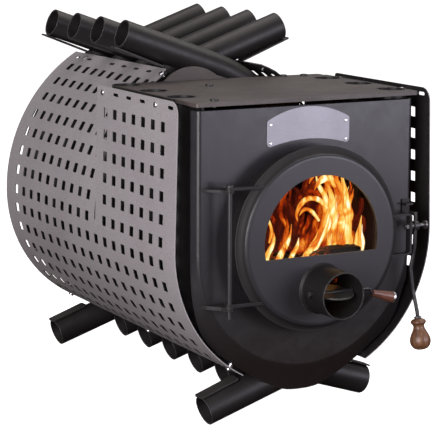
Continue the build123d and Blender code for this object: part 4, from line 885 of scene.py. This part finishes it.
def floor_material():
    """Pale studio floor; what bounces off it is held back so that the undersides stay dark."""
    t = Tree("studio_floor")
    nt = t.nt
    grain = t.noise(6, 3, 0.5)
    t.set(Base_Color=t.mix(grain, (0.80, 0.80, 0.80), (0.84, 0.84, 0.84)), Roughness=0.9)
    t.bsdf.inputs["Specular IOR Level"].default_value = 0.0
    t.bsdf.inputs["Emission Color"].default_value = (1.0, 1.0, 1.0, 1.0)
    t.bsdf.inputs["Emission Strength"].default_value = 1.0
    low = nt.nodes.new("ShaderNodeBsdfDiffuse")
    away = nt.nodes.new("ShaderNodeVectorMath")
    away.operation = "LENGTH"
    nt.links.new(t.coord, away.inputs[0])
    # Painted shadow: the bounced colour is darker near the stove and brighter further out.
    nt.links.new(t.ramp(t.fit(away.outputs["Value"], 0.80, 1.90), [(0.0, (0.050, 0.032, 0.022)), (0.45, (0.075, 0.055, 0.046)), (1.0, (0.22, 0.195, 0.19))]), low.inputs[0])
    path = nt.nodes.new("ShaderNodeLightPath")
    m = nt.nodes.new("ShaderNodeMixShader")
    nt.links.new(path.outputs["Is Camera Ray"], m.inputs[0])
    nt.links.new(low.outputs[0], m.inputs[1])
    nt.links.new(t.bsdf.outputs[0], m.inputs[2])
    nt.links.new(m.outputs[0], t.out.inputs[0])
    return t.mat


floor = disc("studio_floor", 14.0, -0.0005, floor_material())

world = bpy.data.worlds.new("studio")
bpy.context.scene.world = world
world.use_nodes = True
nt = world.node_tree
nt.nodes.clear()
wout = nt.nodes.new("ShaderNodeOutputWorld")
bg_seen = nt.nodes.new("ShaderNodeBackground")
bg_seen.inputs[0].default_value = (1.0, 1.0, 1.0, 1.0)
bg_seen.inputs[1].default_value = 1.0
bg_light = nt.nodes.new("ShaderNodeBackground")
bg_light.inputs[1].default_value = 1.0
tc = nt.nodes.new("ShaderNodeTexCoord")
sep = nt.nodes.new("ShaderNodeSeparateXYZ")
nt.links.new(tc.outputs["Generated"], sep.inputs[0])
mr = nt.nodes.new("ShaderNodeMapRange")
mr.inputs["From Min"].default_value = -1.0
mr.inputs["From Max"].default_value = 1.0
nt.links.new(sep.outputs[2], mr.inputs["Value"])
rmp = nt.nodes.new("ShaderNodeValToRGB")
el = rmp.color_ramp.elements
el[0].position, el[0].color = 0.0, (0.03, 0.022, 0.02, 1)
el[1].position, el[1].color = 1.0, (0.20, 0.18, 0.165, 1)
for pos, col in ((0.485, (0.05, 0.038, 0.034, 1)), (0.52, (0.20, 0.19, 0.20, 1)), (0.62, (0.22, 0.21, 0.215, 1))):
    e = el.new(pos)
    e.color = col
nt.links.new(mr.outputs[0], rmp.inputs[0])
nt.links.new(rmp.outputs[0], bg_light.inputs[0])
lp = nt.nodes.new("ShaderNodeLightPath")
wm = nt.nodes.new("ShaderNodeMixShader")
nt.links.new(lp.outputs["Is Camera Ray"], wm.inputs[0])
nt.links.new(bg_light.outputs[0], wm.inputs[1])
nt.links.new(bg_seen.outputs[0], wm.inputs[2])
nt.links.new(wm.outputs[0], wout.inputs[0])


def softbox(name, at, to, size, power, colour=(1, 1, 1), spread=None):
    data = bpy.data.lights.new(name, "AREA")
    data.shape = "RECTANGLE"
    data.size, data.size_y = size
    data.energy = power
    data.color = colour
    o = bpy.data.objects.new(name, data)
    o.location = at
    d = Vector(to) - Vector(at)
    o.rotation_mode = "QUATERNION"
    o.rotation_quaternion = d.to_track_quat("-Z", "Y")
    bpy.context.scene.collection.objects.link(o)
    return o


softbox("key_right", (1.22, -2.10, 0.74), (0.0, -0.42, 0.48), (1.5, 1.05), 24, (0.90, 0.88, 1.0))
softbox("fill_left", (-2.5, -2.1, 1.0), (-0.29, -0.1, 0.35), (2.0, 1.8), 124, (1.0, 0.968, 0.990))
softbox("top_warm", (1.1, 0.5, 3.1), (0.0, 0.0, 0.4), (2.8, 2.6), 48, (1.0, 0.94, 0.92))
